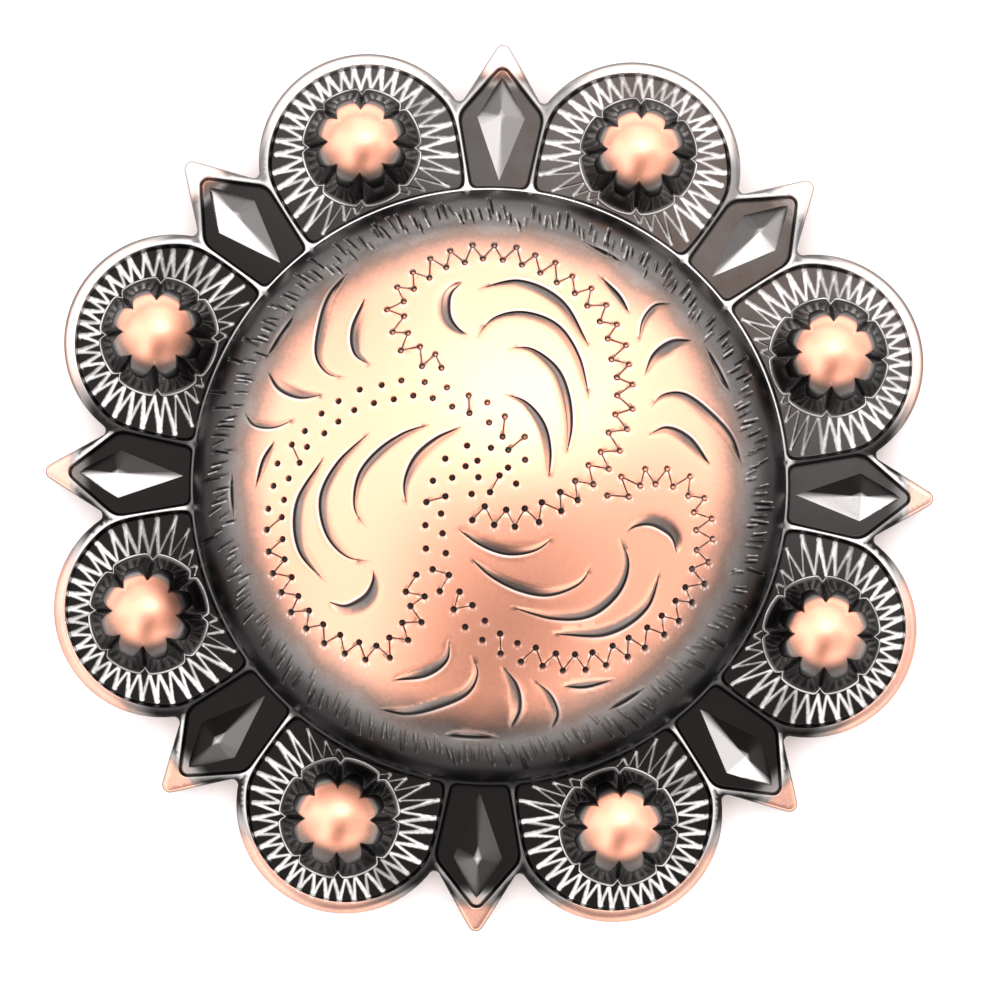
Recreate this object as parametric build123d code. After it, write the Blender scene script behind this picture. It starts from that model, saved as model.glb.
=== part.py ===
from build123d import *
import os
from math import asin, atan2, cos, pi, radians, sin

# A domed concho with round lobes and pointed spikes between them.
# Millimetres. The origin is the centre of the back plane, +Z is the face, and a spike points
# along +Y. The first lobe lies half a step anticlockwise from +X.

# Overall size and pattern
concho_width = 38.1  # across two opposite lobes
petal_count = 8  # lobes, and as many spikes between them

# Heights, from the back plane up
field_height = 1.6  # floor of the sunk fields
relief = 0.35  # border and dividers above the fields
dome_rise = 4.6  # dome above the border

# Lobes
lobe_radius = 4.52
crown_border = 0.55  # border at the lobe's outermost point
side_border = 0.26  # border where the lobe meets the spike

# Spikes
spike_setback = 0.54  # how far a spike stops short of the lobes' reach
spike_tip_radius = 0.33
spike_root_half_width = 1.73
spike_root_depth = 2.6  # from the tip back to the root, along the spike
spike_tip_border = 0.48  # border at the tip, thinning towards the root
spike_root_border = 0.16

# Panel inside a spike, with a divider on each side
panel_half_width_inner = 1.18  # at the dome
panel_half_width_outer = 1.85  # at the root
divider_width = 0.21
panel_corner_radius = 0.35

# Faceted ridge on a spike, four planes rising to one peak
ridge_inner_gap = 0.3  # from the dome's collar
ridge_outer_gap = 1.25  # from the spike's tip
ridge_half_width = 1.0
ridge_height = 0.5
ridge_peak_share = 0.6  # how far along the ridge its peak lies

# Berries, one on each lobe
berry_radius = 2.42  # at the foot
berry_shoulder_radius = 1.95
berry_wall_height = 1.2
berry_cap_rise = 0.85
berry_gap = 0.24  # between the berry's foot and the dome's collar
berry_offset = 0.63  # how far the berry lies outside the lobe's own centre
flute_count = 8
flute_foot_depth = 0.21
flute_cap_depth = 0.46
flute_half_angle = 35.0  # between a flute's side and its middle plane, in degrees

# Dome
dome_collar = 0.15  # narrow step round the dome's foot
dome_shoulder = 3.0  # radius in which the crown turns down to the collar

# Cored back with a central boss
core_land = 2.95  # from the dome's foot in to the core's wall
core_shoulder = 2.0
crown_wall = 1.6  # metal left at the top of the dome
boss_wall = 1.55  # round the post

# Threaded post
thread_radius = 1.73  # wall of the hole tapped for a 4.2 mm screw
thread_depth = 4.6
post_wall = 0.67
post_cap = 0.6  # metal above the hole
post_clearance = 0.05

# Places that follow from the sizes above
reach = concho_width / 2
lobe_centre = reach - lobe_radius
berry_centre = lobe_centre + berry_offset
collar_radius = berry_centre - berry_radius - berry_gap
dome_radius = collar_radius - dome_collar
border_height = field_height + relief
step = 360 / petal_count
spike_reach = reach - spike_setback
spike_root = spike_reach - spike_root_depth
post_radius = thread_radius + post_wall
post_length = thread_depth + post_cap
post_seat_radius = post_radius + post_clearance
boss_radius = post_seat_radius + boss_wall
core_radius = dome_radius - core_land


def around(shape, first=0.0):
    """The shape repeated round the concho's axis, once for each petal."""
    return [Rot(0, 0, first + step * k) * shape for k in range(petal_count)]


def spike_face(tip_border, root_border, base, base_half_width):
    """A spike's outline along +X, drawn in by a border: straight flanks, a round tip, a base."""
    half_angle = atan2(spike_root_half_width - spike_tip_radius, spike_root_depth)
    tip_centre = spike_reach - spike_tip_radius - tip_border / sin(half_angle)
    tip_end = tip_centre + spike_tip_radius
    tip_along = tip_centre + spike_tip_radius * sin(half_angle)
    tip_half_width = spike_tip_radius * cos(half_angle)
    root = spike_root - root_border / sin(half_angle)
    half_width = spike_root_half_width
    edges = [
        Polyline((tip_along, -tip_half_width), (root, -half_width), (base, -base_half_width)),
        Line((base, -base_half_width), (base, base_half_width)),
        Polyline((base, base_half_width), (root, half_width), (tip_along, tip_half_width)),
        ThreePointArc((tip_along, tip_half_width), (tip_end, 0), (tip_along, -tip_half_width)),
    ]
    return make_face(edges)


def panel_outline(grow):
    """The tapering field between a spike's dividers, widened by grow on each side."""
    slope = (panel_half_width_outer - panel_half_width_inner) / (spike_root - collar_radius)
    start = core_radius
    start_half = panel_half_width_inner + slope * (start - collar_radius) + grow
    end_half = panel_half_width_inner + slope * (reach - collar_radius) + grow
    corners = [(start, -start_half), (reach, -end_half), (reach, end_half), (start, start_half)]
    return make_face(Polyline(*corners, close=True))


def plate():
    """The flat plate with its whole outline, up to the border's height."""
    outline = Circle(lobe_centre)
    for lobe in around(Pos(lobe_centre, 0) * Circle(lobe_radius), step / 2):
        outline += lobe
    for spike in around(spike_face(0, 0, dome_radius, spike_root_half_width)):
        outline += spike
    return extrude(outline, border_height)


def lobe_pocket():
    """The sunk field of one lobe, along +X."""
    field_radius = lobe_radius - (crown_border + side_border) / 2
    field_centre = lobe_centre - (crown_border - side_border) / 2
    field = Pos(field_centre, 0) * Circle(field_radius)
    for side in (-step / 2, step / 2):
        field -= Rot(0, 0, side) * panel_outline(divider_width)
    field -= Circle(collar_radius)
    return Pos(0, 0, field_height) * extrude(field, relief * 2)


def spike_pocket():
    """The sunk panel of one spike, along +X, with rounded corners at the dome."""
    base_half_width = core_radius * sin(radians(step / 2))
    inside = spike_face(spike_tip_border, spike_root_border, core_radius, base_half_width)
    panel = panel_outline(0) & inside
    panel -= Circle(collar_radius)
    inner_corners = panel.vertices().sort_by(Axis.X)[:2]
    panel = fillet(inner_corners, min(panel_corner_radius, panel_half_width_inner / 2))
    return Pos(0, 0, field_height) * extrude(panel, relief * 2)


def ridge():
    """The four-sided ridge that stands in a spike's panel, along +X."""
    inner = collar_radius + ridge_inner_gap
    outer = spike_reach - ridge_outer_gap
    peak = inner + (outer - inner) * ridge_peak_share
    corners = [(inner, 0), (peak, -ridge_half_width), (outer, 0), (peak, ridge_half_width)]
    base = Pos(0, 0, field_height) * make_face(Polyline(*corners, close=True))
    return loft([base.face(), Vertex(peak, 0, field_height + ridge_height)])


def berry():
    """One berry standing on its field, with V flutes down its wall, along +X."""
    cap_radius = (berry_shoulder_radius**2 + berry_cap_rise**2) / (2 * berry_cap_rise)
    cap_centre = berry_wall_height + berry_cap_rise - cap_radius
    half_turn = asin(berry_shoulder_radius / cap_radius) / 2
    top = berry_wall_height + berry_cap_rise
    cap_middle = (cap_radius * sin(half_turn), cap_centre + cap_radius * cos(half_turn))
    profile = make_face([
        Line((0, 0), (berry_radius, 0)),
        Line((berry_radius, 0), (berry_shoulder_radius, berry_wall_height)),
        ThreePointArc((berry_shoulder_radius, berry_wall_height), cap_middle, (0, top)),
        Line((0, top), (0, 0)),
    ])
    body = revolve(Plane.XZ * profile, Axis.Z)

    # A flute's bottom line runs from the foot to the place where it leaves the cap.
    foot = berry_radius - flute_foot_depth
    leave = berry_shoulder_radius - flute_cap_depth
    leave_height = cap_centre + (cap_radius**2 - leave**2) ** 0.5
    slope = (leave - foot) / leave_height
    low = -berry_cap_rise
    apex = foot + slope * low
    side = radians(flute_half_angle)
    width = berry_radius
    corners = [
        (apex, 0),
        (apex + width * cos(side), -width * sin(side)),
        (apex + width * 2, -width * sin(side)),
        (apex + width * 2, width * sin(side)),
        (apex + width * cos(side), width * sin(side)),
    ]
    section = Pos(0, 0, low) * make_face(Polyline(*corners, close=True))
    rise = top - low + berry_cap_rise
    path = Vector(slope * rise, 0, rise)
    cutter = extrude(section, amount=path.length, dir=path.normalized())
    for k in range(flute_count):
        body -= Rot(0, 0, (k + 0.5) * 360 / flute_count) * cutter
    return Pos(berry_centre, 0, field_height) * body


def domed_cylinder(floor, radius, rise, shoulder):
    """A cylinder from floor to the border's height, under a crown that curves into a shoulder.

    The shoulder takes up at most three quarters of the rise.
    """
    shoulder_radius = min(shoulder, rise * 0.75)
    crown_rise = rise - shoulder_radius
    crown_radius = (radius**2 - 2 * radius * shoulder_radius + rise**2) / (2 * crown_rise)
    tilt = asin((radius - shoulder_radius) / (crown_radius - shoulder_radius))
    top = border_height + rise

    def on_crown(angle):
        return crown_radius * sin(angle), top - crown_radius * (1 - cos(angle))

    def on_shoulder(angle):
        return radius - shoulder_radius * (1 - sin(angle)), border_height + shoulder_radius * cos(angle)

    profile = make_face([
        Line((0, floor), (radius, floor)),
        Line((radius, floor), (radius, border_height)),
        ThreePointArc((radius, border_height), on_shoulder((tilt + pi / 2) / 2), on_crown(tilt)),
        ThreePointArc(on_crown(tilt), on_crown(tilt / 2), (0, top)),
        Line((0, top), (0, floor)),
    ])
    return revolve(Plane.XZ * profile, Axis.Z)


def dome():
    """The dome over the plate."""
    return domed_cylinder(field_height, dome_radius, dome_rise, dome_shoulder)


def core():
    """The hollow under the dome, open at the back, without the boss."""
    hollow = domed_cylinder(0, core_radius, dome_rise - crown_wall, core_shoulder)
    return hollow - extrude(Circle(boss_radius), border_height + dome_rise)


def casting():
    """The whole front, one casting with a cored back."""
    body = plate()
    for pocket in around(lobe_pocket(), step / 2):
        body -= pocket
    for pocket in around(spike_pocket()):
        body -= pocket
    for point in around(ridge()):
        body += point
    for bead in around(berry(), step / 2):
        body += bead
    body += dome()
    body -= core()
    seat = extrude(Circle(post_seat_radius), post_length + post_clearance)
    return body - seat


def screw_post():
    """The threaded post, a plain sleeve closed at the top, mouth flush with the back."""
    sleeve = extrude(Circle(post_radius), post_length)
    return sleeve - extrude(Circle(thread_radius), thread_depth)


os.makedirs("parts", exist_ok=True)
export_step(casting(), "parts/casting.step")
export_step(screw_post(), "parts/screw_post.step")
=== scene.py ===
import math
import random

import bmesh
import bpy
import numpy as np
from mathutils import Matrix, Vector
from mathutils.geometry import delaunay_2d_cdt
from mathutils.kdtree import KDTree


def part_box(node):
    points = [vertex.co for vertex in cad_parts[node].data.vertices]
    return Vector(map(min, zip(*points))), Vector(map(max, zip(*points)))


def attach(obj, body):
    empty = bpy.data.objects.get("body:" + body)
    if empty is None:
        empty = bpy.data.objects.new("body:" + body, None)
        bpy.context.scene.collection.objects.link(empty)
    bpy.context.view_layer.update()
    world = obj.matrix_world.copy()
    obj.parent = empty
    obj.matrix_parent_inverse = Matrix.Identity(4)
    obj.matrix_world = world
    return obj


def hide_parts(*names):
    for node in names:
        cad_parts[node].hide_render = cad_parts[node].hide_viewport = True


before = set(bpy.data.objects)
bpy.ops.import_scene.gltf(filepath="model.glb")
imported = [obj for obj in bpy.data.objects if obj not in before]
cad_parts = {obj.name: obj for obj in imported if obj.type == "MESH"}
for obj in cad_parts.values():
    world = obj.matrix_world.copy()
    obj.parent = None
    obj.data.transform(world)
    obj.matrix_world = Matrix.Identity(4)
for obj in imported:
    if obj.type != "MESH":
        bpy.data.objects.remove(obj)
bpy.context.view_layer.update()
random.seed(8)

# Shapes are worked out in millimetres and become metres in the mesh.
# A point in plan is one complex number, x + iy, so turning it is a multiplication.
mm = 0.001
_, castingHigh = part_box("casting")
_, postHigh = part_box("screw_post")
spikeReach = castingHigh.x / mm
faceTop = castingHigh.z / mm
fullTurn = 2 * math.pi


# Curves and blends

def smoothStep(value, start, stop):
    share = np.clip((value - start) / (stop - start), 0, 1)
    return share * share * (3 - 2 * share)


def smoothMin(first, second, soft):
    # the smaller of two distances, rounded where they meet
    share = np.clip(0.5 + 0.5 * (second - first) / soft, 0, 1)
    return second + (first - second) * share - soft * share * (1 - share)


def blend(first, second, share):
    return first + (second - first) * share


def bell(value, middle, width):
    return np.exp(-((value - middle) / width) ** 2)


def turned(points, degrees):
    return np.asarray(points) * np.exp(1j * math.radians(degrees))


def evenly(line, spacing):
    # the same line with its points evenly spaced
    travel = np.concatenate([[0], np.cumsum(abs(np.diff(line)))])
    count = max(3, round(travel[-1] / spacing) + 1)
    stops = np.linspace(0, travel[-1], count)
    return np.interp(stops, travel, line.real) + 1j * np.interp(stops, travel, line.imag)


def smoothLine(corners, spacing):
    # a smooth line through a few points
    ends = np.array([complex(*corner) for corner in corners])
    padded = np.concatenate([[2 * ends[0] - ends[1]], ends, [2 * ends[-1] - ends[-2]]])
    share = np.linspace(0, 1, 24, endpoint=False)
    runs = []
    for a, b, c, d in zip(padded, padded[1:], padded[2:], padded[3:]):
        bend = (2 * a - 5 * b + 4 * c - d) * share**2 + (3 * b - a - 3 * c + d) * share**3
        runs.append(0.5 * (2 * b + (c - a) * share + bend))
    return evenly(np.concatenate(runs + [ends[-1:]]), spacing)


def arc(centre, radius, start, stop, spacing):
    # points on an arc, with its angles in radians
    count = max(3, round(abs(stop - start) * radius / spacing) + 1)
    return centre + radius * np.exp(1j * np.linspace(start, stop, count))


def circle(centre, radius, count):
    return centre + radius * np.exp(1j * np.arange(count) * fullTurn / count)


def honeycomb(reach, spacing):
    # a grid of points in rows that step sideways, over a square of the given half width
    rows = np.arange(-reach, reach, spacing * math.sqrt(0.75))
    columns = np.arange(-reach, reach, spacing)
    x, y = np.meshgrid(columns, rows)
    x = x + (np.arange(len(rows)) % 2 * spacing / 2)[:, None]
    return (x + 1j * y).ravel()


def nearestTo(points, line):
    # how far each point is from the nearest point of a line, and which point of the line that is
    tree = KDTree(len(line))
    for place, point in enumerate(line):
        tree.insert((point.real, point.imag, 0), place)
    tree.balance()
    found = [tree.find((p.real, p.imag, 0)) for p in points]
    return np.array([gap for _, _, gap in found]), np.array([place for _, place, _ in found])


class Stroke:
    # a straight V cut with round ends, which may be narrower and shallower at its start
    def __init__(self, start, stop, halfWidth, depth, narrow=1.0, bright=0.0):
        self.start = start
        self.along = stop - start
        self.halfWidth = halfWidth
        self.depth = depth
        self.narrow = narrow
        self.bright = bright

    def share(self, points):
        travel = ((points - self.start) * self.along.conjugate()).real
        return np.clip(travel / abs(self.along) ** 2, 0, 1)

    def bottom(self, spacing):
        return evenly(np.array([self.start, self.start + self.along]), spacing)

    def rim(self, spacing):
        bottom = self.bottom(spacing)
        heading = np.angle(self.along)
        wide = self.halfWidth
        thin = self.halfWidth * self.narrow
        side = 1j * np.exp(1j * heading) * np.linspace(thin, wide, len(bottom))
        roundEnd = np.exp(1j * (heading + np.linspace(0.5, -0.5, 5)[1:-1] * math.pi))
        far = bottom[-1] + wide * roundEnd
        near = bottom[0] - thin * roundEnd
        return np.concatenate([bottom + side, far, (bottom - side)[::-1], near])


def cutDepth(points, strokes):
    # how deep the strokes go at each point, and the painted highlight each leaves
    depth = np.zeros(len(points))
    bright = np.zeros(len(points))
    for stroke in strokes:
        middle = stroke.start + stroke.along / 2
        near = np.flatnonzero(abs(points - middle) < abs(stroke.along) / 2 + stroke.halfWidth)
        share = stroke.share(points[near])
        size = stroke.narrow + (1 - stroke.narrow) * share
        off = abs(points[near] - stroke.start - share * stroke.along)
        deep = stroke.depth * size * np.clip(1 - off / (stroke.halfWidth * size), 0, 1)
        # the painted highlight that a stroke leaves
        paintedShine = stroke.bright * np.clip(deep / 0.02, 0, 1)  # the cut's very edge stays dark
        bright[near] = np.where(deep > depth[near], paintedShine, bright[near])
        depth[near] = np.maximum(depth[near], deep)
    return depth, bright


# Meshes

class Layout:
    # points and lines in plan that are joined into triangles, with the crisp lines kept as edges
    def __init__(self):
        self.points = []
        self.lines = []
        self.crisp = []

    def line(self, points, closed=False, crisp=False):
        first = len(self.points)
        self.points.extend(points)
        order = list(range(first, len(self.points)))
        pairs = list(zip(order, order[1:] + order[:1] if closed else order[1:]))
        self.lines += pairs
        self.crisp += [crisp] * len(pairs)
        return order

    def stroke(self, stroke, spacing):
        self.line(stroke.bottom(spacing), crisp=True)
        self.line(stroke.rim(spacing), closed=True, crisp=True)

    def fill(self, points, gap):
        # adds the points that keep a gap from those already there
        self.points.extend(points[nearestTo(points, self.points)[0] > gap])

    def triangles(self):
        plan = [Vector((p.real, p.imag)) for p in self.points]
        out = delaunay_2d_cdt(plan, self.lines, [], 0, 1e-5)
        verts, edges, faces, vertSource, edgeSource = out[:5]
        index = {}
        for place, sources in enumerate(vertSource):
            for source in sources:
                index[source] = place
        crisp = [edge for edge, source in zip(edges, edgeSource) if any(self.crisp[k] for k in source)]
        return np.array([complex(*v) for v in verts]), np.array(faces), crisp, index


class Shape:
    # a mesh as it grows: places in mm, three colour values at each (patina, soot and painted shade, painted
    # highlight), faces and crisp edges
    def __init__(self):
        self.places = []
        self.finishAndLight = []
        self.faces = []
        self.crisp = []
        self.count = 0

    def add(self, plan, height, patinaAndPaintedLight=0.0, sootAndPaintedShade=0.0, bright=0.0):
        plan = np.atleast_1d(plan)
        height = np.broadcast_to(height, plan.shape)
        self.places.append(np.column_stack([plan.real, plan.imag, height]))
        finishAndLight = [np.broadcast_to(value, plan.shape) for value in (patinaAndPaintedLight, sootAndPaintedShade, bright)]
        self.finishAndLight.append(np.column_stack(finishAndLight))
        self.count += len(plan)
        return np.arange(self.count - len(plan), self.count)

    def band(self, first, second):
        # quads between two closed rings of as many points
        quads = np.column_stack([first, np.roll(first, -1), np.roll(second, -1), second])
        self.faces += quads.tolist()

    def bands(self, rings):
        for first, second in zip(rings, rings[1:]):
            self.band(first, second)

    def fan(self, ring, centre):
        hub = np.full(len(ring), centre)
        self.faces += np.column_stack([ring, np.roll(ring, -1), hub]).tolist()

    def revolve(self, profile, count, patinaAndPaintedLight=0.0, sootAndPaintedShade=0.0):
        # rings round the axis, one for each radius and height of the profile
        return [self.add(circle(0, radius, count), height, patinaAndPaintedLight, sootAndPaintedShade) for radius, height in profile]


def rework(mesh, change):
    work = bmesh.new()
    work.from_mesh(mesh)
    change(work)
    work.to_mesh(mesh)
    work.free()


def closeUp(work):
    # all faces look outward, and all are triangles
    bmesh.ops.recalc_face_normals(work, faces=work.faces)
    bmesh.ops.triangulate(work, faces=[face for face in work.faces if len(face.verts) > 3])


def dropLoosePoints(work):
    loose = [point for point in work.verts if not point.link_faces]
    bmesh.ops.delete(work, geom=loose, context="VERTS")


def makePiece(name, shape, material, node):
    mesh = bpy.data.meshes.new(name)
    places = np.concatenate(shape.places) * mm
    mesh.from_pydata(places.tolist(), [], shape.faces)
    rework(mesh, closeUp)
    mesh.shade_smooth()
    finishAndLight = np.concatenate(shape.finishAndLight)
    for column, label in enumerate(("patinaAndPaintedLight", "sootAndPaintedShade", "bright")):
        layer = mesh.attributes.new(label, "FLOAT", "POINT")
        layer.data.foreach_set("value", finishAndLight[:, column].astype(np.float32))
    if shape.crisp:
        ends = np.zeros(len(mesh.edges) * 2, dtype=np.int64)
        mesh.edges.foreach_get("vertices", ends)
        ends = np.sort(ends.reshape(-1, 2), axis=1) @ (shape.count, 1)
        wanted = np.sort(np.array(shape.crisp), axis=1) @ (shape.count, 1)
        layer = mesh.attributes.new("sharp_edge", "BOOLEAN", "EDGE")
        layer.data.foreach_set("value", np.isin(ends, wanted))
    rework(mesh, dropLoosePoints)
    piece = bpy.data.objects.new(name, mesh)
    bpy.context.scene.collection.objects.link(piece)
    mesh.materials.append(material)
    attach(piece, "root")
    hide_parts(node)
    print(name, "has", len(mesh.polygons), "triangles")
    return piece


# Materials

def colour(code):
    # an sRGB hex value as linear light
    parts = [int(code[k:k + 2], 16) / 255 for k in (1, 3, 5)]
    return [p / 12.92 if p <= 0.04045 else ((p + 0.055) / 1.055) ** 2.4 for p in parts] + [1.0]


def addNode(tree, kind, settings=None, links=None):
    node = tree.nodes.new(kind)
    for key, value in (settings or {}).items():
        if isinstance(key, int) or key in node.inputs:
            node.inputs[key].default_value = value
        else:
            setattr(node, key, value)
    for key, source in (links or {}).items():
        tree.links.new(source, node.inputs[key])
    return node


def combine(tree, operation, first, second, clamp=False):
    return addNode(tree, "ShaderNodeMath", {"operation": operation, "use_clamp": clamp},
                   {0: first, 1: second}).outputs[0]


def scaled(tree, value, factor, offset):
    return addNode(tree, "ShaderNodeMath", {"operation": "MULTIPLY_ADD", 1: factor, 2: offset},
                   {0: value}).outputs[0]


def perSize(millimetres):
    # texture scale at which one feature is this large
    return 1 / (millimetres * mm)


def noise(tree, place, size, detail, roughness=0.5):
    return addNode(tree, "ShaderNodeTexNoise",
                   {"Scale": perSize(size), "Detail": detail, "Roughness": roughness},
                   {"Vector": place}).outputs["Fac"]


def bump(tree, height, strength, depth, under=None):
    # bumps this many mm deep, on top of those under them
    links = {"Height": height, "Normal": under} if under else {"Height": height}
    return addNode(tree, "ShaderNodeBump", {"Strength": strength, "Distance": depth * mm}, links).outputs[0]


def newMaterial(name):
    material = bpy.data.materials.new(name)
    material.use_nodes = True
    material.node_tree.nodes.clear()
    return material, material.node_tree


def finishMaterial(tree, settings, links):
    shader = addNode(tree, "ShaderNodeBsdfPrincipled", settings, links)
    addNode(tree, "ShaderNodeOutputMaterial", {}, {"Surface": shader.outputs[0]})


antiqueFinish = {
    "copper": "#F6AA8E",  # burnished plate
    "tarnish": "#A08478",  # where the blackening was rubbed thin
    "oxide": "#B6B1B0",  # glossy plate on the facets, a mirror for what is round it
    "sootAndPaintedShade": "#171514",  # matt black left in the bottom of the cuts, also used as painted shade
    "bright": "#F1ECEA",  # a whitish painted highlight on thin crests, cut walls and lips
    "copperRoughness": 0.25,
    "oxideRoughness": 0.06,
    "sootAndPaintedShadeRoughness": 0.3,
    "brightRoughness": 0.42,
    "blotch": 1.6,  # mm
    "grain": 0.16,  # mm
    "scratch": 0.09,  # mm, drawn coarser than the real polishing lines
    "blotchAmount": 0.5,  # how far the blotches push the patina to and fro, and the grain
    "grainAmount": 0.24,
    "unevenGloss": 0.06,
    "scratchBump": 0.04,
    "grainBump": 0.06,
}


def makeAntiquedCopper():
    # Copper plate on cast metal, blackened all over and buffed back on the high places: warm satin
    # copper on the crowns, and a dark gloss in the fields that mirrors what is round it.
    values = antiqueFinish
    material, tree = newMaterial("blackenedAndBuffedCopperPlate")
    place = addNode(tree, "ShaderNodeTexCoord").outputs["Object"]
    # three values at each point: patina with some painted light and shade, soot with painted shade, and
    # painted highlight
    patinaAndPaintedLight, sootAndPaintedShade, bright = (
        addNode(tree, "ShaderNodeAttribute", {"attribute_name": name}).outputs["Fac"]
        for name in ("patinaAndPaintedLight", "sootAndPaintedShade", "bright"))
    blotch = noise(tree, place, values["blotch"], detail=4.0, roughness=0.6)
    grain = noise(tree, place, values["grain"], detail=3.0, roughness=0.65)
    uneven = scaled(tree, blotch, values["blotchAmount"], -values["blotchAmount"] / 2)
    fine = scaled(tree, grain, values["grainAmount"], -values["grainAmount"] / 2)
    # clean copper and full blackening stay even, and the worn edge between them is broken up
    edgeOnly = addNode(tree, "ShaderNodeMapRange",
                       {"From Min": 0.02, "From Max": 0.25, "To Min": 0.15, "To Max": 1.0},
                       {"Value": patinaAndPaintedLight}).outputs[0]
    breakUp = combine(tree, "MULTIPLY", combine(tree, "ADD", uneven, fine), edgeOnly)
    amount = combine(tree, "ADD", patinaAndPaintedLight, breakUp, clamp=True)

    ramp = addNode(tree, "ShaderNodeValToRGB", {}, {"Fac": amount})
    stops = ramp.color_ramp.elements
    stops.new(0.5)
    for stop, position, name in zip(stops, (0.05, 0.5, 0.85), ("copper", "tarnish", "oxide")):
        stop.position = position
        stop.color = colour(values[name])
    base = ramp.outputs["Color"]
    gloss = addNode(tree, "ShaderNodeMapRange",
                    {"To Min": values["copperRoughness"], "To Max": values["oxideRoughness"]},
                    {"Value": amount}).outputs[0]
    # black for soot and painted shade, and whitish for painted highlight, laid over the metal
    for name, share in (("sootAndPaintedShade", sootAndPaintedShade), ("bright", bright)):
        base = addNode(tree, "ShaderNodeMix", {"data_type": "RGBA", 7: colour(values[name])},
                       {0: share, 6: base}).outputs[2]
        gloss = addNode(tree, "ShaderNodeMix", {"data_type": "FLOAT", 3: values[name + "Roughness"]},
                        {0: share, 2: gloss}).outputs[0]
    roughness = addNode(tree, "ShaderNodeMath", {"operation": "MULTIPLY_ADD", 1: values["unevenGloss"]},
                        {0: grain, 2: gloss}).outputs[0]

    # buffing lines and the faint pebble of plated casting
    stretched = addNode(tree, "ShaderNodeMapping",
                        {"Scale": (1.0, 0.12, 1.0), "Rotation": (0, 0, 0.5)}, {"Vector": place}).outputs[0]
    lines = noise(tree, stretched, values["scratch"], detail=2.0)
    normal = bump(tree, lines, values["scratchBump"], 0.01)
    normal = bump(tree, grain, values["grainBump"], 0.02, under=normal)
    finishMaterial(tree, {"Metallic": 1.0}, {"Base Color": base, "Roughness": roughness, "Normal": normal})
    return material


brassFinish = {
    "brass": "#D9B36A",
    "dull": "#A98548",
    "turning": 1.4,  # mm, which draws a line of the lathe every 0.44 mm, coarser than the real ones
    "turningBump": 0.3,
    "stain": 0.9,  # mm
    "roughness": 0.3,
    "unevenGloss": 0.15,
}


def makeTurnedBrass():
    # Free-cutting brass, turned and tapped: yellow, with fine rings round its axis.
    values = brassFinish
    material, tree = newMaterial("turnedBrass")
    place = addNode(tree, "ShaderNodeTexCoord").outputs["Object"]
    rings = addNode(tree, "ShaderNodeTexWave",
                    {"wave_type": "RINGS", "rings_direction": "Z", "Distortion": 0.6, "Detail": 2.0,
                     "Scale": perSize(values["turning"])},
                    {"Vector": place}).outputs["Fac"]
    stain = noise(tree, place, values["stain"], detail=4.0)
    base = addNode(tree, "ShaderNodeMix",
                   {"data_type": "RGBA", 6: colour(values["brass"]), 7: colour(values["dull"])},
                   {0: stain}).outputs[2]
    roughness = scaled(tree, stain, values["unevenGloss"], values["roughness"])
    normal = bump(tree, rings, values["turningBump"], 0.01)
    finishMaterial(tree, {"Metallic": 1.0}, {"Base Color": base, "Roughness": roughness, "Normal": normal})
    return material


antiquedCopper = makeAntiquedCopper()
turnedBrass = makeTurnedBrass()
print("materials made")


# Sizes of the casting that its pieces share, in mm

casting = {
    "petals": 8,  # lobes, and as many spikes between them
    "spikeSetback": 0.54,  # how far a spike stops short of the lobes' reach
    "fieldHeight": 1.6,
    "relief": 0.35,
    "lobeRadius": 4.52,
    "berryOffset": 0.63,
    "berryRadius": 2.42,
    "berryGap": 0.24,
    "collar": 0.15,
    "coreLand": 2.95,
    "backPatina": 0.45,  # the back is dull copper all over
    "backSoot": 0.35,
}
step = 360 / casting["petals"]
reach = spikeReach + casting["spikeSetback"]
lobeCentre = reach - casting["lobeRadius"]
berryCentre = lobeCentre + casting["berryOffset"]
collarRadius = berryCentre - casting["berryRadius"] - casting["berryGap"]
domeRadius = collarRadius - casting["collar"]
coreRadius = domeRadius - casting["coreLand"]
fieldHeight = casting["fieldHeight"]
borderHeight = fieldHeight + casting["relief"]
backWear = (casting["backPatina"], casting["backSoot"])


# Dome: the crown with its engraving, and the cored back with the boss

dome = {
    "shoulder": 3.0,  # radius in which the crown turns down
    "crownWall": 1.6,
    "coreShoulder": 2.0,
    "bossRadius": 4.0,
    "bossFillet": 0.5,
    "bossEdge": 0.2,
    "seatGap": 0.05,  # round the post
    "mouth": 0.08,  # chamfer at the mouth of the post's seat
    "overlap": 0.1,  # how far the dome's foot goes into the plate round it
    "rimPoints": 240,
    "crownGrid": (0.19, 0.09),  # mm between mesh points, and the least gap to those of the cuts
    "shoulderGrid": (0.13, 0.07),
    "cutGrid": 0.22,  # along the cuts
    "foot": 0.2,  # how far the dome's foot goes down into the plate
    "cleanTo": 9.0,  # buffed bright as far out as this
    "darkFrom": 11.2,
    "patinaSoft": 0.7,  # the colour changes over this much more to both sides
    "sootAndPaintedShade": 0.96,  # on the shoulder, and how much less towards the top of the picture, where it is painted lighter as if lit
    "lighterAtTop": 0.14,
    "rimStain": 0.5,  # dirt in the rim's cuts, and where it starts
    "rimStainFrom": (9.8, 11),
    "rimHighlightTo": (12.2, 11.3),
    "stainPatina": 0.9,  # where a crescent is stained
    "stainSoot": 0.97,
    "linePatina": 0.8,  # in the fine cuts between the dots
    "lineSoot": 0.55,
    "lineFull": 0.04,  # mm of depth at which dirt fills a fine cut, and a rim's cut
    "rimFull": 0.03,
}


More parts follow.
